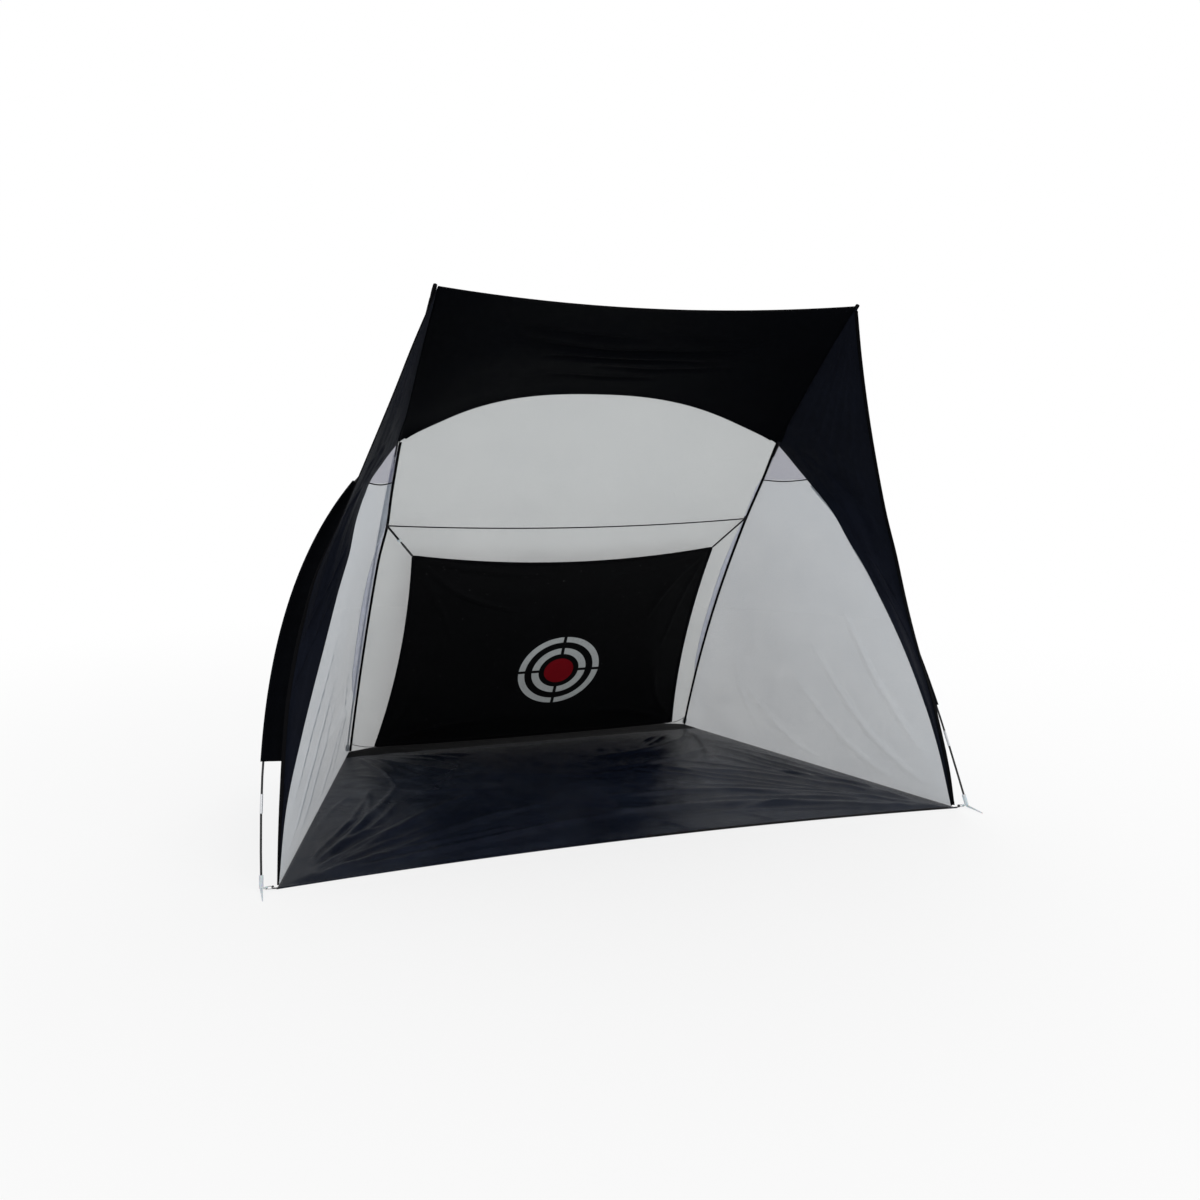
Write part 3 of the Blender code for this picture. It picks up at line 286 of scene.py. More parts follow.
def filled(top, bottom, left, right, across, down):
    # a grid of points between four lines; top and bottom run right, left and right run down
    top, bottom = Line(top).spread(across), Line(bottom).spread(across)
    left, right = Line(left).spread(down), Line(right).spread(down)
    s = np.linspace(0, 1, across)[None, :, None]
    t = np.linspace(0, 1, down)[:, None, None]
    corners = mixed(mixed(top[0], top[-1], s), mixed(bottom[0], bottom[-1], s), t)
    return mixed(left[:, None], right[:, None], s) + mixed(top[None], bottom[None], t) - corners


def spanned(left, right, across, down):
    # cloth between two lines, with straight ends
    return filled(straight(left[0], right[0]), straight(left[-1], right[-1]), left, right, across, down)


def placesOf(grid):
    # each point's place in the flat cloth, in metres, and its share of the way across and down
    rows, columns = grid.shape[:2]
    u = np.array([marksOf(row) for row in grid])
    v = np.array([marksOf(grid[:, k]) for k in range(columns)]).T
    t, s = np.meshgrid(np.linspace(0, 1, rows), np.linspace(0, 1, columns), indexing="ij")
    return u - u[:, -1:] / 2, v, s, t


def fromEdge(s, t):
    return np.minimum.reduce([s, 1 - s, t, 1 - t])


def normalsOf(grid):
    return unit(np.cross(np.gradient(grid, axis=0), np.gradient(grid, axis=1)))


def flatArea(grid):
    a, b = grid[1:, 1:] - grid[:-1, :-1], grid[1:, :-1] - grid[:-1, 1:]
    return float(np.linalg.norm(np.cross(a, b), axis=2).sum() / 2)


def creases(*rows):
    # each row has a fold's places in centimetres, then its width and height in millimetres
    return [([(x / 100, y / 100) for x, y in row[:-2]], row[-2] / 1000, row[-1] / 1000) for row in rows]


def ridges(u, v, lines):
    # heights of folds; each runs through a few places of the flat cloth, and fades at its ends
    out = np.zeros(u.shape)
    for points, width, height in lines:
        path = smoothLine([(*p, 0) for p in points], 8)[:, :2]
        best = np.full(u.shape, 1e9)
        along = np.zeros(u.shape)
        for k in range(len(path) - 1):
            a, d = path[k], path[k + 1] - path[k]
            t = np.clip(((u - a[0]) * d[0] + (v - a[1]) * d[1]) / (d @ d), 0, 1)
            off = np.hypot(u - a[0] - t * d[0], v - a[1] - t * d[1])
            along = np.where(off < best, (k + t) / (len(path) - 1), along)
            best = np.minimum(best, off)
        out += height * hump(best, 0, width) * arched(along) ** 0.6
    return out


def rumple(grid, size, seed):
    # soft random waves, from -1 to 1
    flat = grid.reshape(-1, 3) / size + seed * 7.31
    return np.array([noise.noise(p) for p in flat]).reshape(grid.shape[:2])


def select(obj):
    bpy.ops.object.select_all(action="DESELECT")
    obj.select_set(True)
    bpy.context.view_layer.objects.active = obj


def meshPiece(name, points, faces, uvs):
    mesh = bpy.data.meshes.new(name)
    mesh.from_pydata([tuple(map(float, p)) for p in points], [], faces)
    layer = mesh.uv_layers.new(name="cloth")
    loops = np.zeros(len(mesh.loops), int)
    mesh.loops.foreach_get("vertex_index", loops)
    layer.data.foreach_set("uv", np.array(uvs, float)[loops].ravel())
    obj = bpy.data.objects.new(name, mesh)
    bpy.context.collection.objects.link(obj)
    select(obj)
    bpy.ops.object.shade_smooth()
    return obj


def dress(obj, finish, body="cage", nodes=()):
    obj.data.materials.clear()
    obj.data.materials.append(finish.material)
    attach(obj, body)
    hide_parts(*nodes)
    return obj


def sheetPiece(name, grid, finish, node, thickness=cage["cloth"], plane=None, body="cage"):
    index = np.arange(grid[:, :, 0].size).reshape(grid.shape[:2])
    quads = np.stack([index[:-1, :-1], index[1:, :-1], index[1:, 1:], index[:-1, 1:]], axis=-1)
    places = np.stack(plane or placesOf(grid)[:2], axis=-1)
    obj = meshPiece(name, grid.reshape(-1, 3), quads.reshape(-1, 4).tolist(), places.reshape(-1, 2))
    if thickness:
        solid = obj.modifiers.new("thickness", "SOLIDIFY")
        solid.thickness, solid.offset = thickness, 0
        bpy.ops.object.modifier_apply(modifier="thickness")
    return dress(obj, finish, body, [node])


def hang(obj, plain):
    # works out the width, length and area of the flat cloth that the sheet was cut from, and keeps none of them
    u, v, _, _ = placesOf(plain)
    wide, long = float(2 * u.max()), float(v.max())
    area = min(flatArea(plain), wide * long)


def skin(name, rings, across, along):
    # a skin over rings of points, closed at both ends
    index = np.arange(rings[:, :, 0].size).reshape(rings.shape[:2])
    beside = np.roll(index, -1, axis=1)
    quads = np.stack([index[:-1], index[1:], beside[1:], beside[:-1]], axis=-1)
    faces = [*quads.reshape(-1, 4).tolist(), index[0].tolist(), index[-1, ::-1].tolist()]
    places = np.stack(np.broadcast_arrays(across[None, :], along[:, None]), axis=-1)
    obj = meshPiece(name, rings.reshape(-1, 3), faces, places.reshape(-1, 2))
    bpy.ops.object.mode_set(mode="EDIT")
    bpy.ops.mesh.select_all(action="SELECT")
    bpy.ops.mesh.normals_make_consistent(inside=False)
    bpy.ops.object.mode_set(mode="OBJECT")
    return obj


# across and through a piece of webbing, with rounded edges
ribbonSection = np.array([(-0.5, -0.25), (-0.5, 0.25), (-0.46, 0.5), (0, 0.5), (0.46, 0.5),
                          (0.5, 0.25), (0.5, -0.25), (0.46, -0.5), (0, -0.5), (-0.46, -0.5)])


def ribbon(name, points, sides, width, thick):
    # flat webbing or tape along a line; sides points across it
    points = np.array(points, float)
    sides = squared(np.array(sides, float) * np.ones_like(points), slopes(points))
    flats = np.cross(slopes(points), sides)
    across, through = ribbonSection[:, 0] * width, ribbonSection[:, 1] * thick
    rings = points[:, None] + sides[:, None] * across[:, None] + flats[:, None] * through[:, None]
    return skin(name, rings, across, marksOf(points))


def roundPiece(name, points, ways, radii, around, aside=(0.1, 0.2, 1.0), girth=1.0, start=0.0, side=1):
    # a cord or a cup; aside is any way off the line, girth and start set the places in the flat cloth
    turns = np.arange(around) / around
    first = unit(np.cross(ways, aside))
    second = np.cross(ways, first)
    cosines, sines = np.cos(2 * math.pi * turns)[:, None], np.sin(2 * math.pi * turns)[:, None]
    out = (cosines * first[:, None] + sines * second[:, None]) * np.broadcast_to(radii, len(points))[:, None, None]
    return skin(name, onSide(points[:, None] + out, side), turns * girth, start + marksOf(points))


# materials

class Wire:
    # one output of a node; sums on it add Math nodes
    def __init__(self, nodes, socket):
        self.nodes, self.socket = nodes, socket

    def maths(self, operation, *values):
        return self.nodes.node("ShaderNodeMath", {"operation": operation}, *values)

    def __add__(self, other):
        return self.maths("ADD", self, other)

    __radd__ = __add__

    def __mul__(self, other):
        return self.maths("MULTIPLY", self, other)

    __rmul__ = __mul__

    def __sub__(self, other):
        return self.maths("SUBTRACT", self, other)

    def __rsub__(self, other):
        return self.maths("SUBTRACT", other, self)

    def __truediv__(self, other):
        return self.maths("DIVIDE", self, other)

    def __pow__(self, other):
        return self.maths("POWER", self, other)

    def sine(self):
        return self.maths("SINE", self)

    def wave(self, pitch):
        return (self * (2 * math.pi / pitch)).sine()

    def size(self):
        return self.maths("ABSOLUTE", self)

    def above(self, edge, soft):
        # 0 below an edge and 1 above it, with a soft step between
        settings = {"interpolation_type": "SMOOTHSTEP"}
        return self.nodes.node("ShaderNodeMapRange", settings, self, edge - soft, edge + soft, 0.0, 1.0)


class Nodes:
    # a node tree, and one method that adds any node to it
    def __init__(self, tree):
        self.tree = tree

    def feed(self, socket, value):
        if isinstance(value, Wire):
            self.tree.links.new(value.socket, socket)
        else:
            socket.default_value = value

    def node(self, kind, settings=None, *values, output=0, **named):
        made = self.tree.nodes.new(kind)
        for key, value in (settings or {}).items():
            setattr(made, key, value)
        for key, value in [*enumerate(values), *named.items()]:
            self.feed(made.inputs[key], value)
        return Wire(self, made.outputs[output])


class Finish(Nodes):
    def __init__(self, name, **values):
        self.material = bpy.data.materials.new(name)
        self.material.use_nodes = True
        super().__init__(self.material.node_tree)
        self.shader = self.tree.nodes["Principled BSDF"]
        self.where = self.node("ShaderNodeTexCoord", output="Object")
        for socket, value in values.items():
            self.set(socket.replace("_", " "), value)

    def set(self, name, value):
        self.feed(self.shader.inputs[name], value)

    def flat(self):
        # the place in the flat cloth, in metres
        u = self.node("ShaderNodeSeparateXYZ", None, self.node("ShaderNodeUVMap", {"uv_map": "cloth"}))
        return u, Wire(self, u.socket.node.outputs[1])

    def weave(self, pitch):
        # over and under threads, from 0 to 1
        u, v = self.flat()
        return u.wave(pitch) * v.wave(pitch) * 0.5 + 0.5

    def cloud(self, scale, detail=3.0, rough=0.6, distortion=0.0):
        return self.node("ShaderNodeTexNoise", None, self.where,
                         Scale=scale, Detail=detail, Roughness=rough, Distortion=distortion)

    def blendOf(self, share, a, b):
        mix = self.tree.nodes.new("ShaderNodeMix")
        mix.data_type = "RGBA"
        for place, value in ((0, share), (6, a), (7, b)):
            self.feed(mix.inputs[place], (*value, 1) if isinstance(value, tuple) else value)
        return Wire(self, mix.outputs[2])

    def colour(self, share, a, b):
        self.set("Base Color", self.blendOf(share, a, b))

    def bump(self, height, distance, strength=1.0):
        self.set("Normal", self.node("ShaderNodeBump", Strength=strength, Distance=distance, Height=height))


def clothFinish(name, dark, light, pitch, roughness, spread, bumpDepth, level, sheen=0.0):
    finish = Finish(name, Specular_IOR_Level=level, Sheen_Weight=sheen, Sheen_Roughness=0.4)
    broad, fine, threads = finish.cloud(3.0, 4.0), finish.cloud(60.0), finish.weave(pitch)
    finish.colour((broad * 0.6 + fine * 0.25 + threads * 0.25) ** 1.6, dark, light)
    finish.set("Roughness", roughness + (broad - 0.5) * spread)
    finish.bump(threads * 0.35 + fine * 0.5 + finish.cloud(14.0, 4.0, 0.55, 0.6) * 2.2, bumpDepth)
    return finish


roofCloth = clothFinish("blackCloth", (0.0004, 0.0006, 0.001), (0.0034, 0.0042, 0.0066),
                        0.0016, 0.5, 0.3, 0.0022, 0.02)
# the bands' black cloth is painted lighter than the roof's, as painted light for the sun on the bands
sunlitBandCloth = clothFinish("sunlitBandCloth", (0.0010, 0.0015, 0.0034), (0.011, 0.0145, 0.028),
                        0.0016, 0.46, 0.3, 0.0022, 0.06, 0.015)
tapeCloth = clothFinish("blackTape", (0.001, 0.001, 0.0014), (0.005, 0.005, 0.0065),
                        0.0012, 0.7, 0.2, 0.0008, 0.05)
paleCloth = clothFinish("paleSleeve", (0.52, 0.57, 0.72), (0.70, 0.75, 0.90), 0.0014, 0.75, 0.2, 0.0012, 0.3)
# thin enough for the pole to show through
paleCloth.set("Alpha", 0.62 + (paleCloth.cloud(40.0, rough=0.5) - 0.5) * 0.3)

floorCloth = Finish("floorCloth", Specular_IOR_Level=0.13)
_, v = floorCloth.flat()
broad = floorCloth.cloud(2.2, 5.0)
# the left rear is paler: a painted sheen for the light that it reflects there, speckled with dust
corner = floorCloth.node("ShaderNodeVectorMath", {"operation": "DISTANCE"}, floorCloth.where, (-1.0, 0.35, 0.0),
                         output=1)
cornerSheen = (0.75 - corner).above(0.2, 0.32)
dust = floorCloth.cloud(6.0, 4.0, 0.6, 0.4).above(0.60, 0.14)
specks = floorCloth.cloud(160.0, 2.0, 0.5).above(0.74, 0.02)
rear = v.above(1.05, 0.35)  # painted shade: the floor is darker towards the rear, under the target and where it reflects the black target
bindingAndShade = v.above(1.404, 0.003)  # a matt black band along the rear edge: its binding tape, widened as painted shade under the target's bottom edge
base = floorCloth.blendOf(broad ** 1.4 * (1 - rear * 0.7), (0.0020, 0.0032, 0.0072), (0.0165, 0.0235, 0.043))
# light dust all over, and the painted sheen of the left rear
dustAndSheen = floorCloth.blendOf(dust * 0.05 + cornerSheen * (0.12 + dust * 0.30), base, (0.080, 0.090, 0.110))
speckled = floorCloth.blendOf(specks * 0.2, dustAndSheen, (0.25, 0.25, 0.24))
floorCloth.colour(bindingAndShade, speckled, (0.001, 0.001, 0.0016))
floorCloth.set("Roughness", 0.20 + (broad - 0.5) * 0.12 + cornerSheen * 0.10 + bindingAndShade * 0.5)
floorCloth.bump(floorCloth.weave(0.0018) * 0.05 + floorCloth.cloud(5.0, 3.0, 0.5, 1.0)
                + floorCloth.cloud(20.0, 3.0, 0.5, 0.8) * 0.16, 0.008, 0.6)

# the bull's-eye's place on the flat cloth and its sizes; rings have an outer radius and a width
printed = {"right": 0.074, "down": 0.728, "ringSizes": ((0.218, 0.034), (0.146, 0.038)), "disc": 0.079,
           "gap": 0.017, "soft": 0.0009, "rings": (0.66, 0.70, 0.70), "red": (0.27, 0.006, 0.013)}
targetCloth = Finish("targetCloth", Specular_IOR_Level=0.06)
u, v = targetCloth.flat()
x, y = u - printed["right"], v - printed["down"]
away = (x * x + y * y) ** 0.5
bands = [(outer - away).above(0, printed["soft"]) * (away - (outer - width)).above(0, printed["soft"])
         for outer, width in printed["ringSizes"]]
gaps = [(k.size() - printed["gap"] / 2).above(0, printed["soft"]) for k in (x, y)]
ringShare = (bands[0] + bands[1]) * (gaps[0] * gaps[1])
discShare = (printed["disc"] - away).above(0, printed["soft"])
broad, fine, threads = targetCloth.cloud(2.6, 4.0), targetCloth.cloud(70.0), targetCloth.weave(0.0017)
worn = 1 - targetCloth.cloud(240.0, 2.0, 0.5).above(0.66, 0.04) * 0.35
cloth = targetCloth.blendOf(broad * 0.7 + threads * 0.3, (0.0014, 0.0015, 0.0018), (0.0045, 0.0048, 0.0056))
cloth = targetCloth.blendOf(targetCloth.cloud(120.0, 1.0, 0.5).above(0.79, 0.015) * 0.3, cloth, (0.3, 0.3, 0.3))
ink, red = [targetCloth.blendOf(fine, tuple(dull * c for c in printed[key]), printed[key])
            for key, dull in (("rings", 0.86), ("red", 0.8))]
targetCloth.colour(discShare * worn, targetCloth.blendOf(ringShare * worn, cloth, ink), red)
targetCloth.set("Roughness", 0.6 + (broad - 0.5) * 0.25 - (ringShare + discShare) * 0.12)
targetCloth.bump(threads * 0.3 + fine * 0.4 + targetCloth.cloud(11.0, 4.0, 0.55, 0.5) * 2.0, 0.0022)


def netFinish(name, colour, deep, cover, pitch=0.0032):
    # knitted mesh: three crossing waves leave hexagonal holes
    finish = Finish(name, Specular_IOR_Level=0.2, Roughness=0.8)
    u, v = finish.flat()
    k = 4 * math.pi / (math.sqrt(3) * pitch)
    rise = v * (k * math.sqrt(3) / 2) + math.pi / 2
    knit = (u * k + math.pi / 2).sine() + (u * (-k / 2) + rise).sine() + (u * (k / 2) + rise).sine()
    hole = knit.above(0.35, 0.7)
    broad = finish.cloud(4.0, 4.0)
    finish.colour(broad, deep, colour)
    finish.set("Alpha", cover + (1 - hole) * 0.3 - hole * 0.24 + (broad - 0.5) * 0.14)
    finish.bump(1 - hole, 0.0005)
    return finish


def metalFinish(name, dark, light, rough):
    finish = Finish(name, Metallic=1.0)
    streak, smear = finish.cloud(220.0, 4.0, 0.7), finish.cloud(25.0, 4.0)
    finish.colour(smear * 0.6 + streak * 0.4, dark, light)
    finish.set("Roughness", rough + (smear - 0.5) * 0.25)
    finish.bump(streak, 0.0002)
    return finish


rearMesh = netFinish("rearNet", (0.50, 0.54, 0.55), (0.38, 0.42, 0.42), 0.57)
sideMesh = netFinish("sideNet", (0.49, 0.54, 0.60), (0.37, 0.42, 0.47), 0.58)
upperMesh = netFinish("upperNet", (0.34, 0.35, 0.45), (0.26, 0.27, 0.37), 0.64)
ferrule = metalFinish("ferruleMetal", (0.50, 0.51, 0.53), (0.80, 0.81, 0.83), 0.28)
steel = metalFinish("ringSteel", (0.40, 0.41, 0.43), (0.62, 0.63, 0.65), 0.26)

rod = Finish("blackRod", Specular_IOR_Level=0.4)
streak = rod.cloud(90.0)
rod.colour(streak, (0.006, 0.006, 0.007), (0.018, 0.018, 0.020))
rod.set("Roughness", 0.3 + (rod.cloud(12.0) - 0.5) * 0.3)
rod.bump(streak, 0.0003)

plastic = Finish("palePlastic", Specular_IOR_Level=0.5, Subsurface_Weight=0.25, Subsurface_Scale=0.004)
milky = plastic.cloud(70.0, 3.0, 0.5)
grime = plastic.cloud(160.0, 4.0).above(0.62, 0.1)
base = plastic.blendOf(milky, (0.56, 0.64, 0.69), (0.76, 0.82, 0.85))
plastic.colour(grime * 0.3, base, (0.35, 0.36, 0.35))
plastic.set("Roughness", 0.3 + grime * 0.25)
plastic.bump(milky, 0.0004)

webbing = Finish("blackWebbing", Specular_IOR_Level=0.25)
u, v = webbing.flat()
ribs, picks = u.wave(0.0016) * 0.5 + 0.5, v.wave(0.0024) * 0.5 + 0.5
fuzz = webbing.cloud(300.0)
webbing.colour(ribs * 0.4 + fuzz * 0.5, (0.005, 0.005, 0.006), (0.022, 0.022, 0.025))
webbing.set("Roughness", 0.72 + (fuzz - 0.5) * 0.3)
webbing.bump(ribs * 0.6 + picks * 0.4 + fuzz * 0.4, 0.0005)

cordCover = Finish("blackCord", Specular_IOR_Level=0.25)
u, v = cordCover.flat()
turn, rise = u * (6 * math.pi), v * (2 * math.pi / 0.007)
twist = (turn + rise).sine() * (turn - rise).sine() * 0.5 + 0.5
fuzz = cordCover.cloud(400.0, 2.0)
cordCover.colour(twist * 0.5 + fuzz * 0.4, (0.005, 0.005, 0.006), (0.025, 0.025, 0.028))
cordCover.set("Roughness", 0.65 + (fuzz - 0.5) * 0.3)
cordCover.bump(twist + fuzz * 0.3, 0.0005)
print("materials made")

hardFinishes = {"hoop_rod": rod, "rear_rod": rod, "hoop_ferrule": ferrule, "rear_ferrule": ferrule,
                "foot_": plastic, "ring_": steel, "strap_slider": plastic}
for name, obj in cad.items():
    for start, finish in hardFinishes.items():
        if name.startswith(start):
            for slot in obj.material_slots:
                slot.material = finish.material

sides = ((1, "Right", "right"), (-1, "Left", "left"))

# roof
roof = {"across": 150, "down": 70, "wrinkle": 0.010, "folds": 1.4, "rumple": 0.005,
        "hemWidth": 0.013, "hemThick": 0.0026}
slope = unit(np.array([0, *(archTop - topCorner)[1:]]))
roofEdge = np.array([topCorner * (s, 1, 1) + slope * cage["topSag"] * (1 - s * s) for s in np.linspace(-1, 1, 161)])
plain = filled(roofEdge, archLine.points, onSide(diagonal[::-1], -1), diagonal[::-1], roof["across"], roof["down"])
u, v, s, t = placesOf(plain)
fade = arched(s) * arched(t)
folds = ridges(u, v, creases(
    ((-55, 22), (-10, 30), (35, 29), (62, 24), 18, 11), ((-35, 33), (5, 36), (45, 34), 14, 9),
    ((-10, 40), (20, 43), (55, 36), 16, 8), ((-62, 12), (-25, 20), (10, 22), 16, 6),
    ((10, 17), (45, 22), (68, 20), 20, 6), ((-30, 47), (0, 50), (25, 49), 13, 6)))
wave = roof["wrinkle"] * fade * np.sin(3 * math.pi * t)
raised = wave + fade * (folds * roof["folds"] + roof["rumple"] * rumple(plain, 0.16, 1))
roofPanel = sheetPiece("roofPanel", plain - normalsOf(plain) * raised[:, :, None], roofCloth,
                       "roof_panel")
roofHem = ribbon("roofHem", Line(roofEdge).spread(120) + np.array([0, 0.0045, -0.002]),
                 unit(archTop - roofEdge[80]), roof["hemWidth"], roof["hemThick"])
dress(roofHem, tapeCloth)
hang(roofPanel, plain)

# side bands
band = {"across": 44, "down": 190, "fold": 0.009, "rumple": 0.004, "start": 0.006,
        "hemWidth": 0.014, "hemThick": 0.0026, "hemIn": 0.005, "hemStart": 0.02}
plain = spanned(freeEdge.spread(200, band["start"]),
                Line(np.concatenate([diagonal[::-1], sideSeam[1:]])).spread(200, band["start"]),
                band["across"], band["down"])
u, v, s, t = placesOf(plain)
longFold = band["fold"] * arched(t) * arched(s) * np.sin(2 * math.pi * s)
inward = unit(plain[:, 3] - plain[:, 0])
inward = between(np.linspace(0, 1, 160), np.linspace(0, 1, len(inward)), inward)
for side, word, hand in sides:
    pleats = 0.006 * np.sin(9.0 * s + 3.0 * t + side) * hump(t, 0.2, 0.22)
    pleats += 0.005 * np.sin(17.0 * s - 4.0 * t + 2 * side) * hump(t, 0.42, 0.25)
    pleats += 0.0024 * np.sin(52.0 * s - 5.0 * t) * hump(t, 0.25, 0.20)
    pulls = ridges(s * 0.3, v, creases(
        ((3, 145 + 2 * side), (15, 132), (28, 118), 16, 7), ((5, 162), (16, 150), (28, 140), 12, 6),
        ((2, 102), (14, 86), (29, 66), 18, 8), ((2, 80), (14, 66), (28, 50), 14, 6)))
    loose = pleats + pulls + band["rumple"] * rumple(plain, 0.12, 3 + side)
    push = longFold + arched(s) ** 0.7 * arched(t) ** 0.5 * loose
    grid = handed(plain + np.array([0.41, 0.91, 0]) * push[:, :, None], side)
    piece = sheetPiece(f"band{word}", grid, sunlitBandCloth, f"band_{hand}")
    hemLine = onSide(freeEdge.spread(160, band["hemStart"]) + inward * band["hemIn"], side)
    hem = ribbon(f"band{word}Hem", hemLine, onSide(inward, side), band["hemWidth"], band["hemThick"])
    dress(hem, tapeCloth)
    hang(piece, plain)

# sleeves: cloth folded round a pole, with a flap that is sewn to the seam
sleeves = {"roofRadius": 0.0092, "gussetRadius": 0.0098, "rearRadius": 0.0082, "rodRoom": 0.0068,
           "wall": 0.0006, "layers": 0.0007, "pucker": 0.0022, "gussetLow": 0.40, "gussetHigh": 1.41,
           "rearLow": 0.30, "clear": 0.04, "topGap": 0.0623, "slackBlend": 0.016, "slackLayers": 0.0016}


def channel(centres, seam, radius, flapColumns=8, puckers=0.0):
    ways = slopes(centres)
    flap = np.linalg.norm(seam - centres, axis=1)
    toward = squared(unit(seam - centres), ways)
    across = np.cross(ways, toward)
    stitch = np.minimum(radius * 1.9, flap * 0.9)
    strip = [mixed(stitch, flap, share) for share in np.linspace(1, 0, flapColumns)]
    turns = np.radians(np.linspace(50, 310, 19))
    tube = [radius * math.cos(k) * np.ones(len(flap)) for k in turns]
    reach = np.stack([*strip, *tube, *strip[::-1]], axis=1)
    layer = np.full(flapColumns, sleeves["layers"])
    lift = np.concatenate([layer, radius * np.sin(turns), -layer])
    marks = marksOf(centres)
    ripple = (np.sin(marks * 70) + 0.6 * np.sin(marks * 117 + 1)) * arched(marks / marks[-1]) ** 0.3
    pucker = puckers * ripple[:, None] * arched(np.clip(reach / flap[:, None], 0, 1))
    return centres[:, None] + toward[:, None] * reach[:, :, None] + across[:, None] * (lift + pucker)[:, :, None]


def slackSleeve(centres, seam, side):
    # a wide strip on the inside, which the net is sewn to, and a layer that goes round the pole
    fold = foldLine(seam, side)
    share = np.clip(np.linalg.norm(fold - seam, axis=1, keepdims=True) / sleeves["slackBlend"], 0, 1)
    along = squared(slack[side][0] * np.ones_like(seam), slopes(centres))
    out = squared(centres - seam, along)
    outer = fold + out * sleeves["slackLayers"]

    def beside(x, y):
        return centres + (along * x + out * y) * sleeves["rodRoom"]

    if side == -1:
        path = [mixed(beside(0.8, -0.8), fold, share), mixed(beside(1.0, -0.3), outer, share),
                beside(0.9, 0.6), beside(0, 1), beside(-0.95, 0.2)]
    else:
        path = [fold, outer, beside(1, 0), beside(0, 1), beside(-1, 0), beside(-0.1, -0.95)]
    path = [seam + out * sleeves["wall"], *path, seam + out * 0.002]
    return np.array([smoothLine(row, 5) for row in np.stack(path, axis=1)])


arch = archMarks[(archMarks > leftMark + sleeves["clear"]) & (archMarks < hoop.length - leftMark - sleeves["clear"])]
grid = channel(hoop.at(arch), tucked(archSeam(arch)), sleeves["roofRadius"])
piece = sheetPiece("roofSleeve", grid, roofCloth, "roof_sleeve", sleeves["wall"])
hang(piece, grid)

# a gusset on each side stretch of the hoop
hoopSide = onSide(hoop.spread(150, hoop.rising(sleeves["gussetLow"]), hoop.rising(sleeves["gussetHigh"])), -1)
sewn = between(np.clip(hoopSide[:, 2], 0.01, crossing[2]), sideSeam[::-1, 2], sideSeam[::-1])
gusset = channel(hoopSide, sewn, sleeves["gussetRadius"], puckers=sleeves["pucker"])
# sleeves of the rear poles, pale below the crossing and black above it
crossMark = float(np.interp(crossing[2], poleHeights, poleLine.marks))
footMark = float(np.interp(sleeves["rearLow"], poleHeights, poleLine.marks))
for side, word, hand in sides:
    grid = handed(gusset, side)
    piece = sheetPiece(f"gusset{word}", grid, roofCloth, f"gusset_{hand}", sleeves["wall"])
    hang(piece, grid)
    for kind, start, stop, finish, slot, node, wall in (
            ("rearSleeve", footMark, crossMark - sleeves["clear"], paleCloth, "pale_sleeve", "rear_sleeve", 0),
            ("upperSleeve", crossMark + sleeves["clear"], poleLine.length - sleeves["topGap"], roofCloth,
             "black_cloth", "upper_sleeve", sleeves["wall"])):
        marks = np.linspace(start, stop, 130)
        centres = poleLine.at(marks)
        seam = tucked(rearSeamLine(np.interp(marks, poleLine.marks, poleHeights)))
        if kind == "rearSleeve":
            grid = handed(slackSleeve(centres, seam, side), side)
        else:
            grid = handed(channel(centres, seam, sleeves["rearRadius"], 3), side)
        piece = sheetPiece(f"{kind}{word}", grid, finish, f"{node}_{hand}", wall)
        hang(piece, grid)
print("roof, bands and sleeves made")

# nets; binding is the width of the tape on each rear seam and the way that it faces
net = {"rearSag": 0.055, "sideSag": 0.020, "rumple": 0.004, "crossTape": 0.005, "crossDip": 0.008,
       "tapeThick": 0.0016, "binding": {-1: (0.012, (-1.0, 0, 0)), 1: (0.013, (0.294, -0.956, 0))}}
# between its corners the floor's rear edge is drawn up off the ground by the rear net
rearLift = {"height": 0.027, "reach": 0.055}


def rearRise(share, fromRear=0.0):
    return rearLift["height"] * np.clip(1 - np.abs(share) ** 5, 0, 1) * hump(fromRear, 0, rearLift["reach"])


bottom = straight(onSide(rearSeam[-1], -1), rearSeam[-1], 161)
bottom[:, 2] += rearRise(np.linspace(-1, 1, 161))
plain = filled(archLine.points, bottom, onSide(rearSeam, -1), foldLine(rearSeam, 1), 120, 110)
u, v, s, t = placesOf(plain)
push = net["rearSag"] * arched(s) * arched(t)
push += net["rumple"] * rumple(plain, 0.25, 5) * eased(fromEdge(s, t) / 0.1)
grid = plain + unit(np.array([0.0, -0.85, -0.53])) * push[:, :, None]
hang(sheetPiece("rearNet", grid, rearMesh, "rear_net", 0), grid)

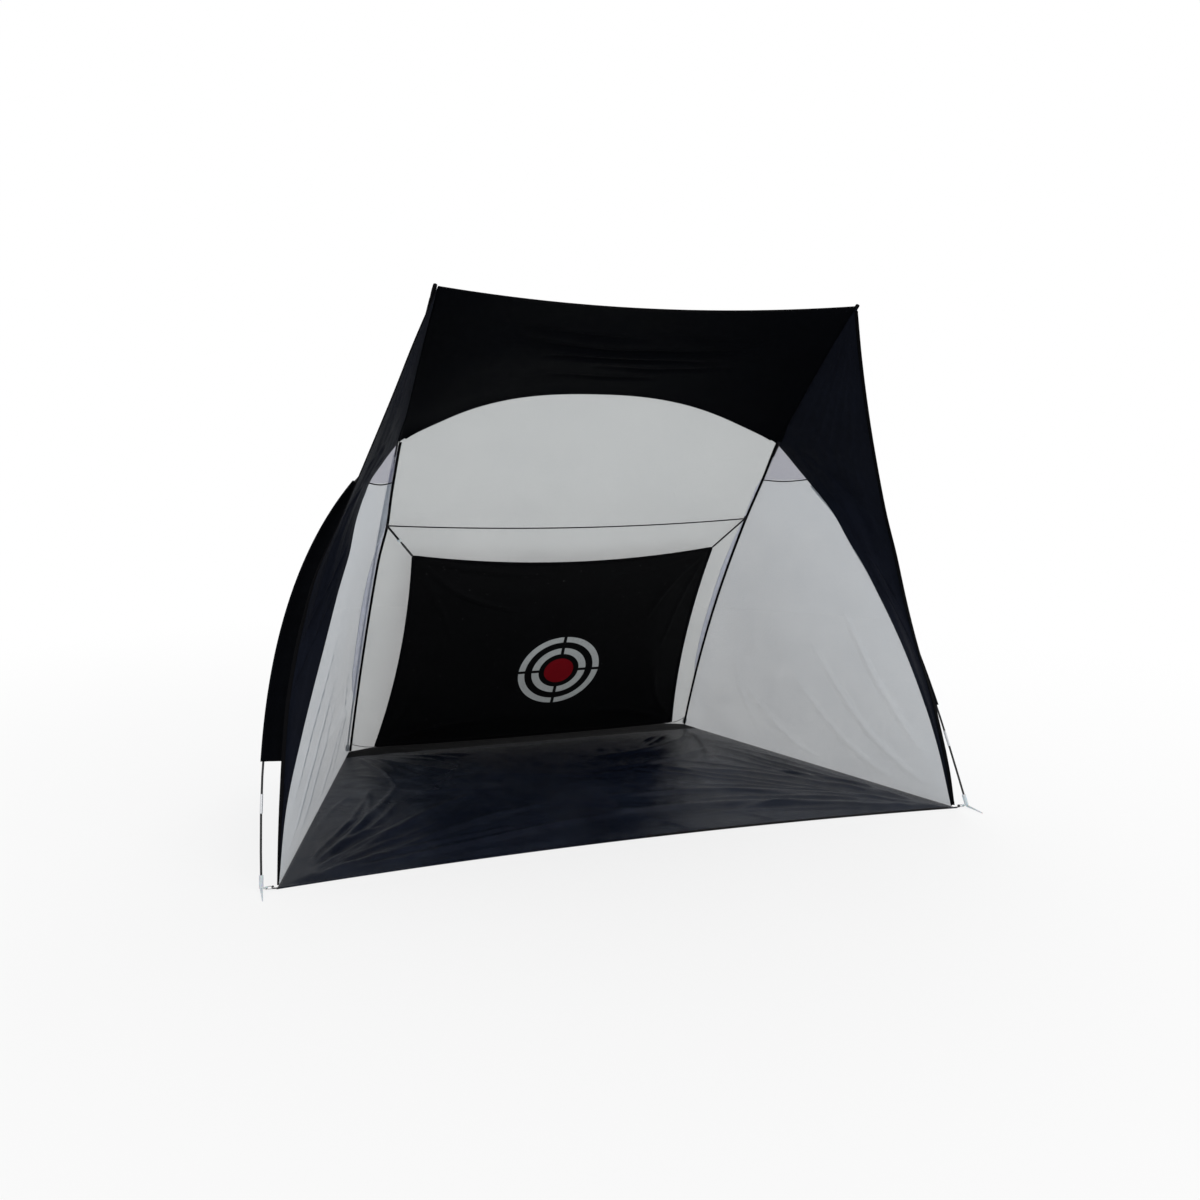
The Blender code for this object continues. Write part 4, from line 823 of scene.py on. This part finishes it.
rearLength = Line(rearSeam).length
for side, word, hand in sides:
    sewn = foldLine(rearSeam, -1) if side == -1 else rearSeam
    large = spanned(*(below(line, cage["netSeam"], cage["seamFoot"]) for line in (sideSeam, sewn)), 80, 130)
    front, back = below(sideSeam, apexHeight, cage["netSeam"]), below(rearSeam, apexHeight, cage["netSeam"])
    small = spanned(front, back, 30, 20)
    u, v, s, t = placesOf(large)
    drawn = ridges(s * 1.5, v, creases(
        ((10, 144), (35, 120), (62, 80), 12, 10), ((20, 146), (50, 125), (80, 95), 10, 8),
        ((6, 135), (22, 100), (34, 60), 12, 9), ((40, 147), (80, 134), (115, 114), 10, 7),
        ((90, 145), (112, 122), (122, 95), 10, 8)))
    loose = (drawn + net["rumple"] * rumple(large, 0.2, 8 + side)) * eased(fromEdge(s, t) / 0.06)
    push = net["sideSag"] * arched(s) * arched(t) + loose
    large, small = handed(large - np.array([1.0, 0, 0]) * push[:, :, None], side), handed(small, side)
    sideNet = sheetPiece(f"sideNet{word}", large, sideMesh, f"side_net_{hand}", 0)
    upperNet = sheetPiece(f"upperNet{word}", small, upperMesh, f"upper_net_{hand}", 0)
    # tapes over the seams
    level = onSide(straight(front[-1], back[-1], 30), side)
    level[:, 2] -= net["crossDip"] * arched(np.linspace(0, 1, 30))
    crossTape = ribbon(f"crossTape{word}", level, (0, 0, 1), net["crossTape"], net["tapeThick"])
    wide, way = net["binding"][side]
    binding = Line(rearSeam).spread(120, 0, rearLength - 0.004)
    binding = binding + unit(np.array(way)) * wide * 0.42 + np.array([-0.0012, -0.0012, 0])
    rearTape = ribbon(f"rearTape{word}", onSide(binding, side), onSide(way, side), wide, net["tapeThick"])
    for tape in (crossTape, rearTape):
        dress(tape, tapeCloth)
    hang(sideNet, large)
    hang(upperNet, small)
print("nets made")

# floor
ground = {"across": 290, "down": 150, "hemWidth": 0.016, "hemThick": 0.0024, "hemIn": 0.008, "lip": 0.0016,
          "clear": 0.0004, "waves": (0.0035, 0.002), "swept": 0.75}


def frontEdge(shares):
    # the floor's front edge, which bows back
    corner = frontCorner + (ground["lip"], 0, 0)
    return np.array([corner * (k, 1, 1) + np.array([0, cage["floorBow"] * (1 - k * k), 0]) for k in shares])


def fan(corner, turns, reach, width, height):
    # fine folds that spread from a corner of the sheet
    lines = []
    for turn in np.radians(turns):
        turn += draw.uniform(-0.04, 0.04)
        way, aside = np.array([math.cos(turn), math.sin(turn)]), np.array([-math.sin(turn), math.cos(turn)])
        near, far, bend = (reach * draw.uniform(*k) for k in ((0.08, 0.2), (0.5, 1), (-0.05, 0.05)))
        points = [tuple(np.array(corner) + way * mixed(near, far, k) + aside * bend * math.sin(math.pi * k))
                  for k in (0, 0.35, 0.7, 1)]
        lines.append((points, width * draw.uniform(0.7, 1.2), height * draw.uniform(0.6, 1.2)))
    return lines


draw = np.random.default_rng(5)
fans = fan((-1.39, 0.02), np.linspace(6, 68, 13), 1.1, 0.012, 0.007)
fans += fan((1.39, 0.02), np.linspace(174, 112, 13), 1.5, 0.012, 0.008)
fans += fan((-0.96, 1.48), np.linspace(-12, -80, 10), 0.75, 0.011, 0.007)
fans += fan((0.96, 1.48), np.linspace(192, 250, 7), 0.7, 0.012, 0.006)
front, rear = frontCorner + (ground["lip"], 0, 0), rearCorner + (ground["lip"], ground["lip"], 0)
plain = filled(frontEdge(np.linspace(-1, 1, 120)), straight(onSide(rear, -1), rear),
               straight(onSide(front, -1), onSide(rear, -1)), straight(front, rear), ground["across"], ground["down"])
_, _, s, t = placesOf(plain)
x, y = plain[:, :, 0], plain[:, :, 1] + cage["floorDepth"] / 2
folds = ridges(x, y, fans + creases(
    ((-138, 3), (-100, 18), (-55, 42), (-20, 52), 22, 13), ((-138, 4), (-110, 24), (-75, 55), (-50, 72), 20, 12),
    ((-137, 5), (-115, 34), (-92, 72), (-80, 95), 18, 10), ((-138, 2), (-90, 13), (-35, 26), (10, 33), 20, 11),
    ((-125, 20), (-105, 50), (-95, 90), 14, 8), ((-95, 95), (-75, 80), (-55, 80), 14, 8),
    ((-98, 110), (-80, 98), (-62, 102), 12, 8), ((139, 2), (100, 14), (40, 30), (-20, 36), 26, 15),
    ((138, 4), (102, 26), (55, 46), (5, 52), 22, 13), ((136, 7), (110, 38), (75, 68), (35, 84), 20, 12),
    ((134, 12), (118, 42), (102, 78), (90, 110), 16, 10), ((120, 12), (80, 22), (35, 22), 14, 8),
    ((90, 130), (60, 112), (20, 105), 18, 9), ((86, 105), (50, 90), (10, 88), 16, 8),
    ((-30, 95), (10, 80), (45, 86), 14, 6), ((-48, 9), (-47, 20), 6, 5), ((-15, 8), (-8, 21), 6, 4),
    ((22, 9), (13, 21), 6, 5), ((62, 6), (50, 20), 6, 5)))
coarse, small = (depth * (1 + rumple(plain, size, seed))
                 for depth, size, seed in zip(ground["waves"], (0.11, 0.045), (11, 12)))
swept = hump(y, 1.385, 0.07)  # the target's bottom edge swings close above this strip
grid = plain.copy()
grid[:, :, 2] = ground["clear"] + rearRise(2 * s - 1, (1 - t) * cage["floorDepth"])
grid[:, :, 2] += eased(fromEdge(s, t) / 0.05) * (folds + coarse + small) * (1 - ground["swept"] * swept)
floorPiece = sheetPiece("floorSheet", grid[::-1], floorCloth, "floor_sheet", plane=(x[::-1], y[::-1]))
hemLine = frontEdge(np.linspace(-1, 1, 160)[2:-2]) + np.array([0, ground["hemIn"], ground["lip"]])
floorHem = ribbon("floorHem", hemLine, (0, 1, 0), ground["hemWidth"], ground["hemThick"])
dress(floorHem, floorCloth)
hang(floorPiece, plain)
print("floor made")

# target
hung = {"topWidth": 1.532, "topHeight": 1.073, "topBack": 0.825, "bottomWidth": 1.694, "bottomHeight": 0.042,
        "bottomBack": 1.416, "topHollow": 0.065, "sideHollow": 0.038, "bottomDroop": 0.012, "billow": 0.022,
        "billowEdge": 0.20, "rumple": 0.003, "hemWidth": 0.018, "hemThick": 0.0028, "hemIn": 0.008}
targetTop = at(0, hung["topBack"], hung["topHeight"])
targetDrop = at(0, hung["bottomBack"], hung["bottomHeight"]) - targetTop
targetLength = np.linalg.norm(targetDrop)
targetDown = targetDrop / targetLength
targetFront = np.cross((1, 0, 0), -targetDown)


def onTarget(right, down, front=0.0):
    right, down, front = np.broadcast_arrays(*(np.array(k, float)[..., None] for k in (right, down, front)))
    return targetTop + right * np.array([1.0, 0, 0]) + down * targetDown + front * targetFront


s, t = np.linspace(-1, 1, 130)[None, :], np.linspace(0, 1, 100)[:, None]
half = mixed(hung["topWidth"], hung["bottomWidth"], t) / 2 - hung["sideHollow"] * 4 * t * (1 - t)
rights = s * half
downs = t * targetLength + mixed(hung["topHollow"], hung["bottomDroop"], t) * (1 - s * s)
fromSide = half * (1 - np.abs(s))
plain = onTarget(rights, downs)
billow = hung["billow"]
for away in (fromSide, t * targetLength, (1 - t) * targetLength):
    billow = billow * eased(away / hung["billowEdge"])
folds = ridges(rights, downs, creases(
    ((-74, 3), (-50, 22), (-20, 34), 12, 8), ((-74, 4), (-60, 30), (-50, 52), 12, 7),
    ((-72, 2), (-40, 10), (0, 14), 12, 6), ((74, 3), (58, 20), (48, 44), 12, 8),
    ((74, 3), (66, 32), (62, 62), 11, 7), ((72, 2), (42, 12), (15, 16), 12, 5),
    ((82, 115), (68, 95), (62, 75), 12, 8), ((80, 116), (55, 105), (30, 102), 12, 6),
    ((-82, 115), (-70, 90), (-66, 66), 12, 7), ((-80, 116), (-50, 106), (-25, 104), 12, 6)))
edge = eased(np.minimum(fromSide, np.minimum(t, 1 - t) * targetLength) / 0.03)
grid = onTarget(rights, downs, billow + edge * (folds + hung["rumple"] * rumple(plain, 0.18, 21)))
targetPiece = sheetPiece("targetSheet", grid, targetCloth, "target_cloth",
                         plane=(rights, downs), body="target")
for name, line, way, sign in (("Top", plain[0], targetDown, 1), ("Bottom", plain[-1], targetDown, -1),
                              ("Left", plain[:, 0], (1, 0, 0), 1), ("Right", plain[:, -1], (1, 0, 0), -1)):
    line = (line + np.array(way) * sign * hung["hemIn"])[1:-1]
    hem = ribbon(f"targetHem{name}", line, way, hung["hemWidth"], hung["hemThick"])
    dress(hem, tapeCloth, "target")
hang(targetPiece, plain)
print("target made")

# straps, cross cord and ties
lines = {"anchorRadius": 0.005, "anchorHalf": 0.014, "anchorWidth": 0.011, "anchorThick": 0.006,
         "strapWidth": 0.010, "strapThick": 0.0016, "strandWidth": 0.0048, "strandApart": 0.0026,
         "slider": 0.105, "cordRadius": 0.0030, "cordSag": 0.026, "tieRadius": 0.0015, "tieSag": 0.006,
         "tieHeight": 0.05}


def inCorner(height, radius, spread):
    return rearSeamPoint(height) - bowPoint(height)[1] * (radius + 0.0007) * spread


def hanging(start, end, sag, count):
    places = np.linspace(0, 1, count)[:, None]
    return mixed(start, end, places) - np.array([0, 0, 1.0]) * sag * 4 * places * (1 - places)


anchor = inCorner(cage["bend"], lines["anchorRadius"], 1.2)
targetCorner = onTarget(hung["topWidth"] / 2, 0.0)
strapWay = unit(targetCorner - anchor)
strapAcross = unit(np.cross(strapWay, targetFront))
strapReach = float(np.linalg.norm(targetCorner - anchor))
seamUp = unit(rearSeamPoint(cage["bend"] + 0.02) - rearSeamPoint(cage["bend"] - 0.02))
marks = np.linspace(0.004, strapReach + 0.002, 30)
strap = anchor + strapWay * marks[:, None]
wrap = anchor + seamUp * np.linspace(-lines["anchorHalf"], lines["anchorHalf"], 9)[:, None]
# the left strap is one layer to the slider, then two strands from the mark where that layer ends
one = marks <= lines["slider"] + 0.004
two = marks >= marks[one][-1]
apart = strapAcross * eased((marks - lines["slider"]) / 0.03)[:, None] * lines["strandApart"]
strapParts = {1: [("", strap)],
              -1: [("", strap[one]), ("StrandA", (strap + apart)[two]), ("StrandB", (strap - apart)[two])]}

cordEnd = anchor - np.array([lines["anchorRadius"] + 0.0003, 0, 0])
route = hanging(onSide(cordEnd, -1), cordEnd, lines["cordSag"], 41)
crossCord = roundPiece("crossCord", route, slopes(route), lines["cordRadius"], 10)
dress(crossCord, cordCover, nodes=["cross_cord"])
Line(route).length

tieEnd = inCorner(lines["tieHeight"], lines["tieRadius"], 1.4)
corner = onTarget(hung["bottomWidth"] / 2, targetLength)
tieRoute = hanging(corner + unit(tieEnd - corner) * 0.0008, tieEnd, lines["tieSag"], 17)
for side, word, hand in sides:
    for part, points in strapParts[side]:
        width = lines["strandWidth"] if part else lines["strapWidth"]
        piece = ribbon(f"strap{word}{part}", onSide(points, side), onSide(strapAcross, side), width,
                       lines["strapThick"])
        dress(piece, webbing, nodes=[] if part else [f"strap_{hand}"])
    piece = ribbon(f"anchor{word}", onSide(wrap, side), onSide([0.7, -0.7, 0], side), lines["anchorWidth"],
                   lines["anchorThick"])
    dress(piece, webbing, nodes=[f"anchor_{hand}"])
    route = onSide(tieRoute, side)
    tie = roundPiece(f"tie{word}", route, slopes(route), lines["tieRadius"], 8)
    tie.data.materials.append(cordCover.material)
    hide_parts(f"tie_{hand}")
    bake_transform(tie)
    Line(route).length

# corner fittings of cloth and webbing
fittings = {"loopWidth": 0.008, "loopBore": 0.0032, "loopWall": 0.0014, "cupRadius": 0.0094, "cupLength": 0.030,
            "pocketRadius": 0.0076, "pocketLength": 0.062, "swell": 0.12}
loopCentre = at(hoopPoint(cage["hoopFoot"])[0] - 0.039, 0.005, 0.0068)
reach, turns = fittings["loopBore"] + fittings["loopWall"] / 2, np.radians(np.linspace(-100, 200, 28))
loop = [np.array([frontCorner[0] - 0.012, loopCentre[1], 0.0026]),
        np.array([frontCorner[0] + 0.004, loopCentre[1], 0.0024]),
        *(loopCentre + reach * np.array([math.cos(k), 0, math.sin(k)]) for k in turns)]
poleTop = poleLine.length
for side, word, hand in sides:
    piece = ribbon(f"loop{word}", onSide(loop, side), (0, 1, 0), fittings["loopWidth"], fittings["loopWall"])
    dress(piece, webbing, nodes=[f"loop_{hand}"])
    for kind, start, stop, finish, slot in (
            ("cup", 0.0, fittings["cupLength"], webbing, "black_webbing"),
            ("pocket", poleTop - fittings["pocketLength"], poleTop + 0.001, tapeCloth, "black_cloth")):
        marks = np.linspace(start, stop, 12)
        radius = fittings[f"{kind}Radius"]
        swell = radius * (1 + fittings["swell"] * arched(np.linspace(0, 1, 12)))
        piece = roundPiece(f"{kind}{word}", poleLine.at(marks), poleLine.way(marks), swell, 20,
                           (1.0, 0.1, 0), 2 * math.pi * radius, start, side)
        dress(piece, finish, nodes=[f"{kind}_{hand}"])
print("straps, cords and fittings made")

# studio
studio = {"size": 60, "drop": 0.0012, "shadow": 0.72, "reach": 6, "world": 0.75, "key": 95, "fill": 55}
bpy.ops.mesh.primitive_plane_add(size=studio["size"], location=(0, 0, -studio["drop"]))
floorPlane = bpy.context.object
floorPlane.name = "studioFloor"
paper = Finish("studioPaper", Roughness=0.9, Specular_IOR_Level=0.0)
paper.colour(paper.cloud(0.7, 2.0, 0.5), (0.84, 0.84, 0.84), (0.87, 0.87, 0.87))
# the camera sees the paper as white, and whiter with distance, while near the cage it keeps the shadow
away = paper.node("ShaderNodeVectorMath", {"operation": "LENGTH"}, paper.where, output=1)
plainWhite = paper.node("ShaderNodeEmission", None, (1, 1, 1, 1), 1.0)
share = (away / studio["reach"]).above(0.5, 0.5) * (1 - studio["shadow"]) + studio["shadow"]
share = share * paper.node("ShaderNodeLightPath")
mixedWhite = paper.node("ShaderNodeMixShader", None, share, Wire(paper, paper.shader.outputs[0]), plainWhite)
paper.feed(paper.tree.nodes["Material Output"].inputs["Surface"], mixedWhite)
floorPlane.data.materials.append(paper.material)

world = bpy.data.worlds.new("studio")
world.use_nodes = True
bpy.context.scene.world = world
sky = Nodes(world.node_tree)
background = sky.tree.nodes["Background"]
rays = sky.node("ShaderNodeLightPath").socket.node.outputs
seen = Wire(sky, rays["Is Camera Ray"])
for name in ("Is Glossy Ray", "Is Transmission Ray"):
    seen = seen.maths("MAXIMUM", seen, Wire(sky, rays[name]))
sky.feed(background.inputs["Strength"], seen * (1 - studio["world"]) + studio["world"])
background.inputs["Color"].default_value = (1, 1, 1, 1)


def lamp(name, place, aim, size, power):
    light = bpy.data.lights.new(name, "AREA")
    light.shape = "SQUARE"
    light.size = size
    light.energy = power
    obj = bpy.data.objects.new(name, light)
    bpy.context.collection.objects.link(obj)
    obj.location = place
    obj.rotation_euler = (Vector(aim) - Vector(place)).to_track_quat("-Z", "Y").to_euler()


lamp("keyLamp", (3.2, 3.4, 4.2), (0, 0, 0.4), 3.0, studio["key"])
lamp("fillLamp", (1.2, -5.0, 3.4), (-0.4, 0, 0.9), 4.0, studio["fill"])
bpy.context.scene.view_settings.view_transform = "Standard"
print("studio made")
